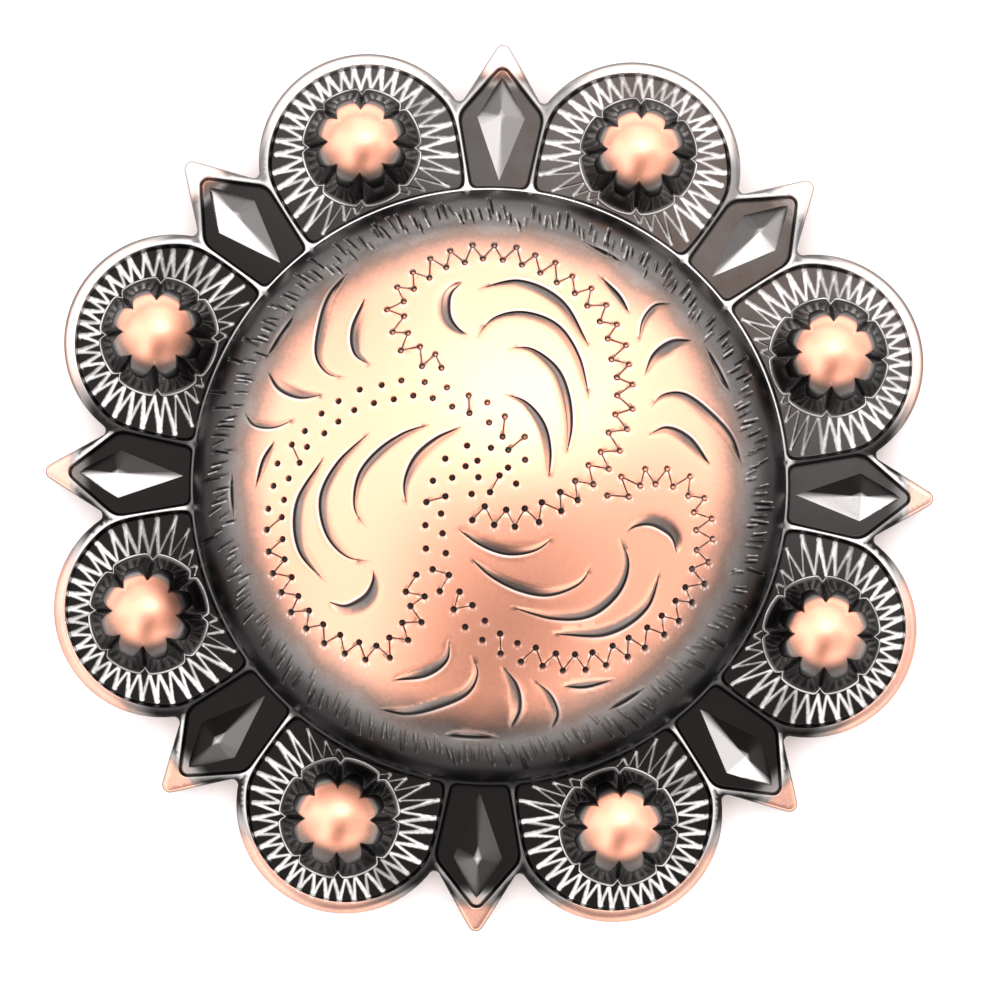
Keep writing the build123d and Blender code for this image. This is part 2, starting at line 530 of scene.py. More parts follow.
def domedProfile(radius, rise, shoulder):
    # height and slope along a crown that turns down through a shoulder, by distance along the curve
    top = borderHeight + rise
    crown = (radius**2 - 2 * radius * shoulder + rise**2) / (2 * (rise - shoulder))
    tilt = math.asin((radius - shoulder) / (crown - shoulder))
    crownTravel = crown * tilt

    def at(travel):
        onCrown = travel < crownTravel
        angle = np.where(onCrown, travel / crown, tilt + (travel - crownTravel) / shoulder)
        out = np.where(onCrown, crown * np.sin(angle), radius - shoulder * (1 - np.sin(angle)))
        onShoulder = borderHeight + shoulder * np.cos(angle)
        height = np.where(onCrown, top - crown * (1 - np.cos(angle)), onShoulder)
        return out, height, angle

    def travelTo(out):
        crownPart = crown * np.arcsin(np.clip(out / crown, 0, 1))
        angle = np.arcsin(np.clip(1 - (radius - out) / shoulder, -1, 1))
        return np.where(crownPart < crownTravel, crownPart, crownTravel + (angle - tilt) * shoulder)

    return at, travelTo, crownTravel + (math.pi / 2 - tilt) * shoulder


domeAt, domeTravel, domeLength = domedProfile(domeRadius, faceTop - borderHeight, dome["shoulder"])

# The engraving is one arm cut three times round. Its points are given in plan, in mm.
wriggle = {
    "route": ((-2.0, 4.75), (-3.3, 5.1), (-4.1, 7.0), (-2.9, 8.5), (-0.8, 9.35), (1.5, 9.05),
              (3.5, 7.9), (4.7, 6.5), (5.4, 4.0), (5.15, 2.2), (4.45, 0.6), (2.7, -1.0)),
    # the three arms end in their own ways in the middle
    "tails": (((1.1, -1.55), (-0.6, -1.4)),
              ((1.2, -1.7), (0.4, -1.5), (-0.17, -1.1), (-0.46, -0.4), (-0.1, 0.22), (0.08, 0.86)),
              ((1.1, -1.55), (0.0, -1.45), (-0.66, -1.0), (-0.77, -0.5))),
    "swing": 0.33,  # to each side of the route
    "pitch": 0.86,
    "lineHalfWidth": 0.05,
    "lineDepth": 0.045,
    "dotRadius": 0.145,
    "dotRings": ((0.6, 8), (1.4, 8), (1.8, 10)),  # mesh points round a dot: how far out, how many
    "dotDepth": 0.12,
    "stray": 0.035,  # unevenness of work by hand
    "linked": (1.0, 0.38, 0.58),  # share of each arm, from its head, where a line joins the dots
    "strayLinks": 0.2,  # chance of a link further on
    # the dots hold dark dirt; towards the top right, where the crown is lit brightest, each is painted as a
    # lit pit with painted shade on one side
    "litPitsTowards": 0.5 + 0.85j,
    "litPitsFrom": (0.8, 2.8),
    "unshadedSideDark": 0.1,  # how dark a lit pit stays away from its painted shade
    "litMiddleDark": 0.3,  # and in its lit middle
    "shadedSide": 126,  # degrees in plan, the side of a lit pit that takes painted shade
    "shadedEdge": (-0.45, 0.15),  # the painted shade begins and is full here, in radii towards that side
    "ringEdge": (0.1, 0.6),  # and here, out from the middle
    "lipSide": -80,
    "lipAt": 1.4,  # the lip round a dot, which carries a painted highlight on its lower side, in its radii
    "lipWidth": 0.25,
    "lipHighlight": 0.6,
}
flares = {
    # the crisp edge of each crescent
    "edges": (
        ((-1.0, 5.85), (-1.4, 6.1), (-1.72, 6.55), (-1.8, 7.1), (-1.72, 7.6), (-1.3, 8.1)),
        ((-0.6, 7.8), (1.2, 8.2), (2.95, 7.35), (4.05, 5.4)),
        ((-0.8, 5.6), (0.0, 6.6), (1.25, 6.9), (2.65, 6.4), (3.55, 5.1), (4.0, 3.3)),
        ((0.6, 5.35), (1.65, 5.35), (2.7, 4.6), (3.2, 3.5), (3.33, 2.2), (3.1, 1.0)),
        ((0.45, 3.5), (1.45, 3.15), (2.2, 2.3), (2.48, 1.2), (2.4, 0.0)),
        ((3.55, 9.95), (4.55, 9.55), (5.3, 9.1)),
        ((4.2, 8.6), (5.15, 7.75), (5.6, 6.9)),
        ((5.9, 5.7), (6.0, 6.75), (6.5, 7.45), (7.2, 7.55)),
        ((6.2, 4.3), (6.55, 5.3), (7.3, 5.9), (8.2, 5.95)),
        ((8.7, 5.8), (9.3, 4.85), (9.8, 3.85)),
        ((6.35, 3.1), (6.9, 3.8), (7.85, 3.9), (9.0, 3.15), (9.85, 2.25), (10.3, 1.1)),
        ((6.3, 1.95), (7.15, 2.4), (8.15, 2.0), (9.0, 0.9)),
    ),
    # the width of each, below zero where it lies on the outer side of the bend
    "widths": (-0.65, 0.5, 0.42, 0.45, 0.45, 0.22, 0.3, 0.35, 0.6, 0.35, 0.5, 0.5),
    "widestAt": 0.56,
    "fullness": 0.8,  # below 1 the ends are blunter
    "uneven": 0.5,  # degrees, how far one arm's crescents stray from another's
    "depth": 0.08,
    "depthShare": 0.3,  # of the width, where the cut is narrow
    "wallAt": 0.16,  # the share of the width that the steep wall takes
    "farSlope": 0.8,  # and that which the slope on the hollow side takes
    "secondLine": (0.5, 0.85),  # where the tool's other edge left its line, as a share of the width
    "secondWidth": 0.07,
    "secondDark": (0.0, 0.75),  # how dark that line is, least and most
    "floorStain": (0.45, 0.85),  # dirt left on the floor beside the crisp edge, least and most
    "stainAt": (0.3, 0.7),  # where along the crescent it is thickest
    "stainLength": 0.42,  # of the crescent's length
    "lipHeight": 0.015,  # metal pushed up along the crisp edge
    "lipWidth": 0.14,
    # the painted highlight on that raised lip
    "lipHighlight": 0.7,
    "edgeGrid": 0.11,  # mm between mesh points
    "wideFrom": 0.12,  # mesh points lie inside a cut where it is wider than this
    "floorRows": (0.08, 0.3),  # at these shares of its width
    "secondRows": (-0.08, 0.0, 0.08),  # and at these beside the second line
    "lipRows": (0.25, 0.5, 1.0),  # outside it, in widths of the lip
}
rimCuts = {
    "count": 250,
    "uneven": 0.2,  # of the space between two
    "inner": 10.8,
    "stray": 0.2,
    "length": (0.4, 0.85),
    "lean": 0.012,  # radians from one end to the other
    "halfWidth": (0.05, 0.09),
    "depth": 0.06,
    "weakestAtBottom": 0.25,  # the cuts are shallowest, and their painted highlights faintest, at the bottom of the picture
    "beside": 0.12,  # from a cut to the fine line beside it, which carries a painted highlight
    "besideHalfWidth": 0.04,
    "besideDepth": 0.03,
    "bright": (0.1, 0.2, 0.3, 0.5),  # how strong that line's painted highlight is, chosen at random
}
arms = 3
lineStep = 0.05  # mm between the points of a line drawn through those places


def unrolled(plan):
    # the crown spread flat, so that distances along it stay true
    return plan / abs(plan) * domeTravel(abs(plan))


def wriggleLines():
    # turning points of each arm and the cuts that join them
    dots, cuts = [], []
    for arm in range(arms):
        route = smoothLine(wriggle["route"] + wriggle["tails"][arm], lineStep)
        route = turned(route, arm * 360 / arms)
        route = evenly(unrolled(route), wriggle["pitch"] / 2)
        across = 1j * np.gradient(route) / abs(np.gradient(route))
        swing = wriggle["swing"] * (1 - 2 * (np.arange(len(route)) % 2))
        stray = [complex(random.gauss(0, 1), random.gauss(0, 1)) for _ in route]
        turns = route + across * swing + np.array(stray) * wriggle["stray"]
        dots += list(turns)
        linked = round(len(turns) * wriggle["linked"][arm])
        for place, (start, stop) in enumerate(zip(turns, turns[1:])):
            if place >= linked and random.random() > wriggle["strayLinks"]:
                continue
            shorten = (stop - start) / abs(stop - start) * wriggle["dotRadius"] * 0.9
            cuts.append(Stroke(start + shorten, stop - shorten,
                               wriggle["lineHalfWidth"], wriggle["lineDepth"]))
    return dots, cuts


def rimStrokes():
    # short cuts side by side round the dome's shoulder, no two alike
    strokes = []
    count = rimCuts["count"]
    least = rimCuts["weakestAtBottom"]
    for index in range(count):
        angle = (index + random.gauss(0, rimCuts["uneven"])) * fullTurn / count
        inner = rimCuts["inner"] + random.gauss(0, rimCuts["stray"])
        outer = inner + random.uniform(*rimCuts["length"])
        lean = random.gauss(rimCuts["lean"], 0.5 * rimCuts["lean"])
        start, stop = (float(domeTravel(np.array(out))) for out in (inner, outer))
        start, stop = start * np.exp(1j * angle), stop * np.exp(1j * (angle + lean))
        # the cuts are shallower, and their painted highlights fainter, towards the bottom of the picture
        markStrength = least + (1 - least) * float(smoothStep(math.sin(angle), -0.9, 0.1))
        depth = rimCuts["depth"] * (0.4 + 0.6 * markStrength)
        strokes.append(Stroke(start, stop, random.uniform(*rimCuts["halfWidth"]), depth))
        bright = random.choice(rimCuts["bright"]) * markStrength
        if bright:
            beside = 1j * (stop - start) / abs(stop - start) * rimCuts["beside"]
            begin = start + (stop - start) * random.uniform(0, 0.4)
            strokes.append(Stroke(begin + beside, stop + beside, rimCuts["besideHalfWidth"],
                                  rimCuts["besideDepth"], 1.0, bright))
    return strokes


class Flare:
    # one crescent cut: a crisp edge, and a width that swells and dies away towards the hollow side
    def __init__(self, edge, width, degrees):
        line = unrolled(turned(smoothLine(edge, lineStep), degrees))
        self.edge = evenly(line, flares["edgeGrid"])
        travel = np.gradient(self.edge)
        bend = np.sum((travel[:-1].conjugate() * travel[1:]).imag)
        self.inward = 1j * math.copysign(1, bend * width) * travel / abs(travel)
        share = np.linspace(0, 1, len(self.edge)) ** (math.log(0.5) / math.log(flares["widestAt"]))
        self.width = abs(width) * np.sin(math.pi * share) ** flares["fullness"]
        self.width[[0, -1]] = 0
        self.widest = abs(width)
        self.floorStain = random.uniform(*flares["floorStain"])
        self.stainAt = random.uniform(*flares["stainAt"])
        self.second = random.uniform(*flares["secondLine"])
        self.secondDark = random.uniform(*flares["secondDark"])

    def at(self, share):
        return self.edge + self.inward * self.width * share

    def layInto(self, layout):
        layout.line(self.edge, crisp=True)
        layout.line(self.at(flares["wallAt"]), crisp=True)
        layout.line(self.at(1.0))
        middle = self.width > flares["wideFrom"]
        for share in flares["floorRows"] + tuple(self.second + row for row in flares["secondRows"]):
            layout.points.extend(self.at(share)[middle])
        for share in flares["lipRows"]:
            layout.points.extend((self.edge - self.inward * flares["lipWidth"] * share)[middle])

    def cutInto(self, points, depth, stain, bright):
        # sinks the points inside, stains them, and lifts those just outside the crisp edge, painting a
        # highlight on that lip
        fine = np.linspace(0, len(self.edge) - 1, (len(self.edge) - 1) * 3 + 1)
        coarse = np.arange(len(self.edge))
        edge, inward, width = (
            np.interp(fine, coarse, values) for values in (self.edge, self.inward, self.width))
        low = complex(min(edge.real), min(edge.imag)) - (1 + 1j) * self.widest
        high = complex(max(edge.real), max(edge.imag)) + (1 + 1j) * self.widest
        near = np.flatnonzero((points.real > low.real) & (points.real < high.real)
                              & (points.imag > low.imag) & (points.imag < high.imag))
        if not len(near):
            return
        offset = points[near][:, None] - edge[None, :]
        nearest = np.argmin(abs(offset), axis=1)
        row = np.arange(len(near))
        gap = abs(offset[row, nearest])
        inside = (offset[row, nearest] * inward[nearest].conjugate()).real
        local = width[nearest]
        share = np.where(local > 0.02, gap / np.maximum(local, 0.02), 2)
        cut = (inside > 0) & (share < 1)
        wallAt = flares["wallAt"]
        most = np.minimum(flares["depth"], flares["depthShare"] * local)
        deep = most * np.minimum(np.clip(share / wallAt, 0, 1), smoothStep(1 - share, 0, flares["farSlope"]))
        depth[near] = np.maximum(depth[near], np.where(cut, deep, 0))
        # a dark line along each edge, with a film of dirt between that fades towards the hollow side
        film = bell(fine[nearest] / fine[-1], self.stainAt, flares["stainLength"])
        film = smoothStep(share, 1.0, 0.5) * film
        dirt = np.maximum(smoothStep(share, wallAt * 1.9, wallAt * 0.9), self.floorStain * film)
        dirt = np.maximum(dirt, self.secondDark * bell(share, self.second, flares["secondWidth"]))
        dirt = dirt * np.clip((local - 0.04) / 0.12, 0, 1)  # none in the fine ends
        stain[near] = np.maximum(stain[near], np.where((inside > -0.01) & (share < 1), dirt, 0))
        lip = flares["lipHeight"] * np.minimum(local / self.widest, 1)
        lift = lip * np.sin(math.pi * np.clip(gap / flares["lipWidth"], 0, 1)) ** 2
        outside = (inside <= 0) & (gap < flares["lipWidth"]) & (depth[near] <= 0)
        depth[near] = np.where(outside, np.minimum(depth[near], -lift), depth[near])
        # a painted highlight along the raised lip
        paintedShine = flares["lipHighlight"] * np.clip(lift / flares["lipHeight"], 0, 1) ** 2
        bright[near] = np.maximum(bright[near], np.where(outside & (inside < -0.02), paintedShine, 0))


def dotDepthDarkAndHighlight(plan, dots):
    # depth of the dots, the dirt and painted shade in them, and the painted highlight on the lip round them
    radius = wriggle["dotRadius"]
    toDot, nearest = nearestTo(plan, dots)
    depth = wriggle["dotDepth"] * np.clip((radius - toDot) / (radius * 0.5), 0, 1)
    fromDot = (plan - np.array(dots)[nearest]) / radius
    # towards the top right a dot is painted as a lit pit: shade on one side, a lighter middle
    shaded = smoothStep(turned(fromDot, -wriggle["shadedSide"]).real, *wriggle["shadedEdge"])
    litPits = smoothStep((plan * wriggle["litPitsTowards"].conjugate()).real, *wriggle["litPitsFrom"])
    ring = smoothStep(abs(fromDot), *wriggle["ringEdge"])
    kept = blend(wriggle["unshadedSideDark"], 1, shaded) * blend(wriggle["litMiddleDark"], 1, ring)
    dirt = 1 - litPits * (1 - kept)
    dirt = dirt * np.clip(depth / 0.03, 0, 1)
    lip = bell(abs(fromDot), wriggle["lipAt"], wriggle["lipWidth"])
    lip = lip * smoothStep(turned(fromDot, -wriggle["lipSide"]).real, 0.2, 1.0) * (depth <= 0)
    return depth, dirt, lip * wriggle["lipHighlight"]


def addBack(shape, rimRing):
    # a foot set into the plate, the core's wall and roof, the boss and the seat of the post
    coreAt, coreTravel, coreLength = domedProfile(
        coreRadius, faceTop - borderHeight - dome["crownWall"], dome["coreShoulder"])
    seatRadius = postHigh.x / mm + dome["seatGap"]
    seatTop = postHigh.z / mm + dome["seatGap"]
    bossRadius = dome["bossRadius"]
    fillet = dome["bossFillet"]
    edge = dome["bossEdge"]
    mouth = dome["mouth"]
    overlap = dome["overlap"]
    footHeight = borderHeight - dome["foot"]
    profile = [(domeRadius - overlap, footHeight), (coreRadius + overlap, footHeight)]
    roofStart = float(coreTravel(np.array(bossRadius + fillet)))
    for travel in np.linspace(coreLength, roofStart, 30):
        out, height, _ = coreAt(travel)
        profile.append((float(out), float(height)))
    roof = profile[-1][1]
    for turn in np.linspace(0, math.pi / 2, 6)[1:]:
        profile.append((bossRadius + fillet * (1 - math.sin(turn)), roof - fillet * (1 - math.cos(turn))))
    profile += [(bossRadius, roof * share) for share in (0.7, 0.4, 0.15)]
    for turn in np.linspace(0, math.pi / 2, 5):
        profile.append((bossRadius - edge * (1 - math.cos(turn)), edge * (1 - math.sin(turn))))
    profile += [(seatRadius + mouth, 0.0), (seatRadius, mouth), (seatRadius, seatTop)]
    rings = shape.revolve(profile, dome["rimPoints"], *backWear)
    shape.bands([rimRing] + rings)
    shape.fan(rings[-1], shape.add(0j, seatTop, *backWear)[0])


def makeDome():
    layout = Layout()
    rim = layout.line(circle(0, domeLength, dome["rimPoints"]), closed=True)
    crescents = []
    for arm in range(arms):
        for edge, width in zip(flares["edges"], flares["widths"]):
            degrees = random.gauss(0, flares["uneven"])
            crescents.append(Flare(edge, width * random.uniform(0.9, 1.1), arm * 360 / arms + degrees))
    for flare in crescents:
        flare.layInto(layout)
    dots, cuts = wriggleLines()
    radius = wriggle["dotRadius"]
    for dot in dots:
        layout.line(circle(dot, radius, 8), closed=True, crisp=True)
        for share, count in wriggle["dotRings"]:
            layout.points.extend(circle(dot, radius * share, count))
        layout.points.append(dot)
    rimLines = rimStrokes()
    for stroke in cuts + rimLines:
        layout.stroke(stroke, dome["cutGrid"])
    shoulderStart = domeTravel(np.array(dome["cleanTo"]))
    spacing, gap = dome["crownGrid"]
    crown = honeycomb(domeLength, spacing)
    layout.fill(crown[abs(crown) < shoulderStart], gap)
    spacing, gap = dome["shoulderGrid"]
    shoulder = honeycomb(domeLength, spacing)
    shoulder = shoulder[(abs(shoulder) >= shoulderStart) & (abs(shoulder) < domeLength - 0.06)]
    layout.fill(shoulder, gap)
    plan, faces, crisp, index = layout.triangles()

    depth, stain, lipHighlight = np.zeros((3, len(plan)))
    for flare in crescents:
        flare.cutInto(plan, depth, stain, lipHighlight)
    lineDepth, _ = cutDepth(plan, cuts)
    rimDepth, rimHighlight = cutDepth(plan, rimLines)
    dotDepth, dotDirtAndShade, dotLipHighlight = dotDepthDarkAndHighlight(plan, dots)
    for carved in (lineDepth, rimDepth, dotDepth):
        depth = np.where(carved > 0, np.maximum(depth, carved), depth)

    # the crown is buffed, the shoulder keeps its blackening and is painted lighter towards the top, dirt
    # stays in the cuts, and painted highlights go on the rim's fine lines and the lips
    out, height, angle = domeAt(abs(plan))
    around = plan / np.maximum(abs(plan), 1e-9)
    cleanTo, darkFrom, soft = dome["cleanTo"], dome["darkFrom"], dome["patinaSoft"]
    inLine = np.clip(lineDepth / dome["lineFull"], 0, 1)
    inRim = np.clip(rimDepth / dome["rimFull"], 0, 1) * (rimHighlight < 0.05)
    inRim = inRim * smoothStep(out, *dome["rimStainFrom"])
    inCut = np.maximum(inLine, dotDirtAndShade)
    patinaAndPaintedLight = smoothStep(out, cleanTo - soft, darkFrom + soft)
    patinaAndPaintedLight = np.maximum(patinaAndPaintedLight, np.maximum(stain * dome["stainPatina"], inCut * dome["linePatina"]))
    sootAndPaintedShade = smoothStep(out, cleanTo - 0.1, darkFrom + 0.3)
    sootAndPaintedShade = sootAndPaintedShade * (dome["sootAndPaintedShade"] - dome["lighterAtTop"] * np.clip(around.imag, 0, 1))
    sootAndPaintedShade = blend(sootAndPaintedShade, 1, inRim * dome["rimStain"])
    sootAndPaintedShade = np.maximum(sootAndPaintedShade, np.maximum(stain**1.3, dotDirtAndShade) * dome["stainSoot"])
    sootAndPaintedShade = np.maximum(sootAndPaintedShade, inLine * dome["lineSoot"])
    onCrown = smoothStep(out, cleanTo + 1.5, cleanTo)
    bright = np.maximum(rimHighlight * smoothStep(out, *dome["rimHighlightTo"]), lipHighlight * (0.3 + 0.7 * onCrown))
    bright = np.maximum(bright, dotLipHighlight * (1 - inCut))
    shape = Shape()
    shape.add(around * (out - depth * np.sin(angle)), height - depth * np.cos(angle), patinaAndPaintedLight, sootAndPaintedShade, bright)
    shape.faces += faces.tolist()
    shape.crisp += crisp
    addBack(shape, np.array([index[k] for k in rim]))
    return makePiece("dome", shape, antiquedCopper, "casting")


makeDome()


# Rosette: the plate round the dome, with its lobes, spikes, borders and dividers

rosette = {
    "notchFillet": 0.25,
    "crownBorder": 0.55,
    "sideBorder": 0.26,
    "tipRadius": 0.33,
    "rootHalfWidth": 1.73,
    "rootDepth": 2.6,
    "tipBorder": 0.48,
    "rootBorder": 0.16,
    "panelInner": 1.18,  # half width of a spike's panel at the dome, and at its root
    "panelOuter": 1.85,
    "divider": 0.21,
    "cornerBlend": 0.3,  # rounding where the walls of a field meet
    "wall": 0.15,  # the width in which a field's wall falls
    "crownWall": 0.06,  # and at the lobes' crowns
    "tipRise": 0.1,  # a panel's floor climbs this much towards the spike's tip
    "ridgeInnerGap": 0.3,
    "ridgeOuterGap": 1.25,
    "ridgeHalfWidth": 1.0,
    "ridgeHeight": 0.5,
    "ridgePeak": 0.6,
    "edgeWidth": 0.13,  # the outer edge is rounded over this width
    "crownEdgeWidth": 0.36,  # and on the lobes' crowns over this
    "crownEdgeFrom": (16.2, 18.4),  # distances from the middle
    "riseFrom": (16.9, 17.5),
    "edgeDrop": 0.13,
    "backEdge": 0.18,
    "grid": (0.13, 0.075),  # mm between mesh points, and the least gap to those of the cuts and walls
    "coarseGrid": 0.5,  # under the berries
    "edgeGrid": 0.13,  # along the outline, and in its small curves
    "curveGrid": 0.06,
    "cutGrid": 0.25,
    "under": 0.2,  # how far the plate's face goes in under the dome
    # the cut that zigzags round each berry: out in wide strokes, and back in narrower ones
    "bars": 36,
    "barInner": 2.48,  # from the berry's centre
    "barLimit": 4.5,
    "barOuter": 3.9,  # from a centre of its own, at this distance from the concho's middle
    "barOuterCentre": 14.62,
    "barHalfWidth": 0.14,
    "barDepth": 0.05,
    "barClear": 0.17,  # mm from the bar's middle line to a field's edge
    "backHalfWidth": 0.11,
    "barStray": 0.05,
    "barUneven": 0.06,  # of the space between two
    "barEnd": 0.62,  # width at the inner end, as a share
    "barHighlight": (0.6, 1.0),
    "besideCollar": 0.6,  # the bars beside the collar are this much finer, with a fainter painted highlight
    "besideCollarTo": (12.6, 14.2),  # up to this distance from the middle
    "climbsWall": (16.4, 17.8),  # from this far out it runs up the crown's wall
    # where its painted highlight is faintest, in degrees round each berry
    "faintBars": ((65, 235), (30, 0), (205, 280), (262, 285), (225, 250), (205, 60), (122, 100), (90, 262)),
    "faintestBars": 0.6,
    "faintSpread": 14,
    # painted shade on each ridge's facets, from the spike at +X anticlockwise:
    # inner left, outer left, outer right and inner right, as seen with the spike pointing up
    "ridgeFacetShade": ((0.99, 0.96, 0.0, 0.0), (0.75, 0.85, 0.45, 0.0),
                  (0.0, 0.74, 0.45, 0.48), (0.0, 0.0, 0.74, 0.62),
                  (0.0, 0.0, 0.98, 0.89), (0.72, 0.87, 0.99, 1.0),
                  (0.86, 0.95, 0.82, 0.99), (1.0, 0.965, 0.0, 0.0)),
    # how much lighter the outer end of each spike's panel is, in the same order
    "endLighter": (0.25, 0.5, 0.95, 0.92, 0.5, 0.45, 0.65, 0.36),
    "ridgeUneven": 0.0012,
}
# The finish with its painted light and shade, in distances from the middle of the concho where two numbers
# stand for a place. The crowns and the spikes' tips are buffed to copper, and thin crests carry a whitish
# painted highlight, more so towards the top.
rosetteFinishAndLight = {
    "crown": (16.7, 18.2),
    "tip": (17.0, 17.7),
    "flank": (15.6, 16.2),
    "climb": (16.6, 17.4),
    "collar": (0.05, 0.3),  # out from the collar's edge
    "highlightFacing": 0.03 - 1j,  # a divider has a painted highlight on the side facing this way, in plan
    "dividerHighlight": (0.03, 0.85),  # least, and how much more on that side
    "leftOfTopHighlight": 0.45,
    "strongestHighlight": 0.9,
    "collarTowards": 75,  # degrees in plan of the side where the collar's painted highlight is strongest
    "collarHighlight": (0.02, 0.1, 0.8),  # least, more to the left and right, and more on that side
    "flankHighlight": (0.25, 0.6),
    "crownHighlight": (0.1, 0.55),
    "tipHighlight": (0.05, 0.4),
    "buffedPatina": 0.25,  # on the crowns and tips
    # the outer edge towards the top takes the pale oxide colour as a painted highlight
    "paleTopEdge": 0.8,
    "litTowards": 55,  # degrees in plan of the side where the fields are painted lighter, as if lit
    "litPatina": 0.35,
    "litSoot": 0.15,
    "endPatina": 0.7,  # how much of it the lighter end of a panel loses
    "sootAndPaintedShade": 0.99,
    # the raised faces are painted lighter towards the top of the picture
    "lighterAtTop": 0.28,
    "wallSoot": (0.92, 0.55),  # on the fields' walls, and how much less at the crowns
    "edgeDarkening": (0.75, 0.7),  # painted shade along the outer edge, and how much less at the lower crowns
    # at each share of the way down the side: patina
    "sides": ((0.12, 0.2), (0.45, 0.38), (0.8, casting["backPatina"])),
    "sideSoot": 0.1,
}
flankAngle = math.atan2(rosette["rootHalfWidth"] - rosette["tipRadius"], rosette["rootDepth"])
spikeRoot = spikeReach - rosette["rootDepth"]


def spikeTip(border):
    return spikeReach - rosette["tipRadius"] - border / math.sin(flankAngle)


def lobeFrame(plan):
    # the point as seen from its own lobe, which lies along +X
    turns = np.round((np.angle(plan, deg=True) - step / 2) / step)
    return plan * np.exp(-1j * np.radians(step / 2 + turns * step))


def spikeFrame(plan):
    turns = np.round(np.angle(plan, deg=True) / step)
    local = plan * np.exp(-1j * np.radians(turns * step))
    return local.real + 1j * abs(local.imag)


def insideSpike(local, tipBorder, rootBorder):
    # distance in from a spike's flank and rounded tip
    tipCentre = spikeTip(tipBorder)
    tangent = tipCentre + rosette["tipRadius"] * np.exp(1j * (math.pi / 2 - flankAngle))
    root = spikeRoot - rootBorder / math.sin(flankAngle) + 1j * rosette["rootHalfWidth"]
    along = (root - tangent) / abs(root - tangent)
    flank = ((local - tangent) * (1j * along).conjugate()).real
    tip = rosette["tipRadius"] - abs(local - tipCentre)
    return np.where(local.real > tangent.real, np.minimum(tip, flank), flank)


def fieldShares(plan):
    # how far inside its sunk field a point is, for the lobe's field and for the spike's panel
    lobe = lobeFrame(plan)
    spike = spikeFrame(plan)
    soft = rosette["cornerBlend"]
    slope = (rosette["panelOuter"] - rosette["panelInner"]) / (spikeRoot - collarRadius)
    side = rosette["panelInner"] + slope * (spike.real - collarRadius)
    lean = math.cos(math.atan(slope))
    fieldRadius = casting["lobeRadius"] - (rosette["crownBorder"] + rosette["sideBorder"]) / 2
    fieldCentre = lobeCentre - (rosette["crownBorder"] - rosette["sideBorder"]) / 2
    fromCollar = abs(plan) - collarRadius
    lobeField = smoothMin(fieldRadius - abs(lobe - fieldCentre),
                          (spike.imag - side - rosette["divider"]) * lean, soft)
    lobeField = smoothMin(lobeField, fromCollar, soft)
    inSpike = insideSpike(spike, rosette["tipBorder"], rosette["rootBorder"])
    panel = smoothMin(smoothMin((side - spike.imag) * lean, inSpike, soft), fromCollar, soft)
    return lobeField, panel


def ridgeCorners():
    inner = collarRadius + rosette["ridgeInnerGap"]
    outer = spikeReach - rosette["ridgeOuterGap"]
    peak = inner + (outer - inner) * rosette["ridgePeak"]
    return inner, peak, outer


def addRidges(shape):
    # a closed four-sided point in each spike's panel, going down into the floor, with painted shade on its
    # facets
    inner, peak, outer = ridgeCorners()
    half = rosette["ridgeHalfWidth"]
    corners = [complex(inner, 0), complex(peak, half), complex(outer, 0), complex(peak, -half)]
    onSide = 6
    sides = [np.linspace(start, stop, onSide, endpoint=False)
             for start, stop in zip(corners, corners[1:] + corners[:1])]
    ring = np.concatenate(sides) - peak
    top = rosette["ridgeHeight"]
    for k in range(casting["petals"]):
        middle = turned(peak + 0j, step * k)
        facets = np.repeat(rosette["ridgeFacetShade"][k], onSide)
        facets[::onSide] = (facets[::onSide] + np.roll(facets, 1)[::onSide]) / 2
        rings = []
        for share in (0.2, 0.4, 0.6, 0.8, 1.0, 1.08):
            uneven = np.array([random.gauss(0, rosette["ridgeUneven"]) for _ in ring])
            places = turned(peak + ring * share, step * k)
            rings.append(shape.add(places, fieldHeight + top * (1 - share) + uneven, 1.0, facets))
        shape.bands(rings)
        tip = shape.add(middle, fieldHeight + top, 1.0, 0.0)[0]
        shape.fan(rings[0], tip)
        shape.fan(rings[-1], shape.add(middle, fieldHeight - 0.1, 1.0, 1.0)[0])
        for corner in range(0, len(ring), onSide):
            line = [tip] + [points[corner] for points in rings]
            shape.crisp += list(zip(line, line[1:]))


def plateOutline():
    # one half petal from the lobe's crown to the spike's tip, then mirrored and repeated
    radius = casting["lobeRadius"]
    fillet = rosette["notchFillet"]
    tip = spikeTip(0)
    tangent = tip + rosette["tipRadius"] * np.exp(-1j * (math.pi / 2 - flankAngle))
    root = spikeRoot - 1j * rosette["rootHalfWidth"]
    down = (root - tangent) / abs(root - tangent)
    outward = 1j * down
    centre = lobeCentre * np.exp(-1j * math.radians(step / 2))
    # the fillet's centre lies a fillet off the flank and off the lobe's circle
    start = tangent + outward * fillet - centre
    b = (start * down.conjugate()).real
    c = abs(start) ** 2 - (radius + fillet) ** 2
    travel = -b - math.sqrt(b * b - c)
    filletCentre = tangent + outward * fillet + down * travel
    toLobe = np.angle(filletCentre - centre)
    crown = arc(centre, radius, -math.radians(step / 2), toLobe, rosette["edgeGrid"])
    startTurn = np.angle(centre - filletCentre)
    stopTurn = np.angle(-outward)
    if stopTurn < startTurn - math.pi:
        stopTurn += fullTurn
    if stopTurn > startTurn + math.pi:
        stopTurn -= fullTurn
    notch = arc(filletCentre, fillet, startTurn, stopTurn, rosette["curveGrid"])
    flank = evenly(np.array([notch[-1], tangent]), rosette["edgeGrid"])
    end = arc(tip, rosette["tipRadius"], np.angle(tangent - tip), 0, rosette["curveGrid"])
    half = np.concatenate([crown, notch[1:], flank[1:], end[1:]])
    half = turned(half, step)  # now from the lobe at half a step to the spike at a step
    mirrored = half[::-1].conjugate() * np.exp(2j * math.radians(step))
    whole = np.concatenate([half[:-1], mirrored[:-1]])
    return np.concatenate([turned(whole, step * k) for k in range(casting["petals"])])


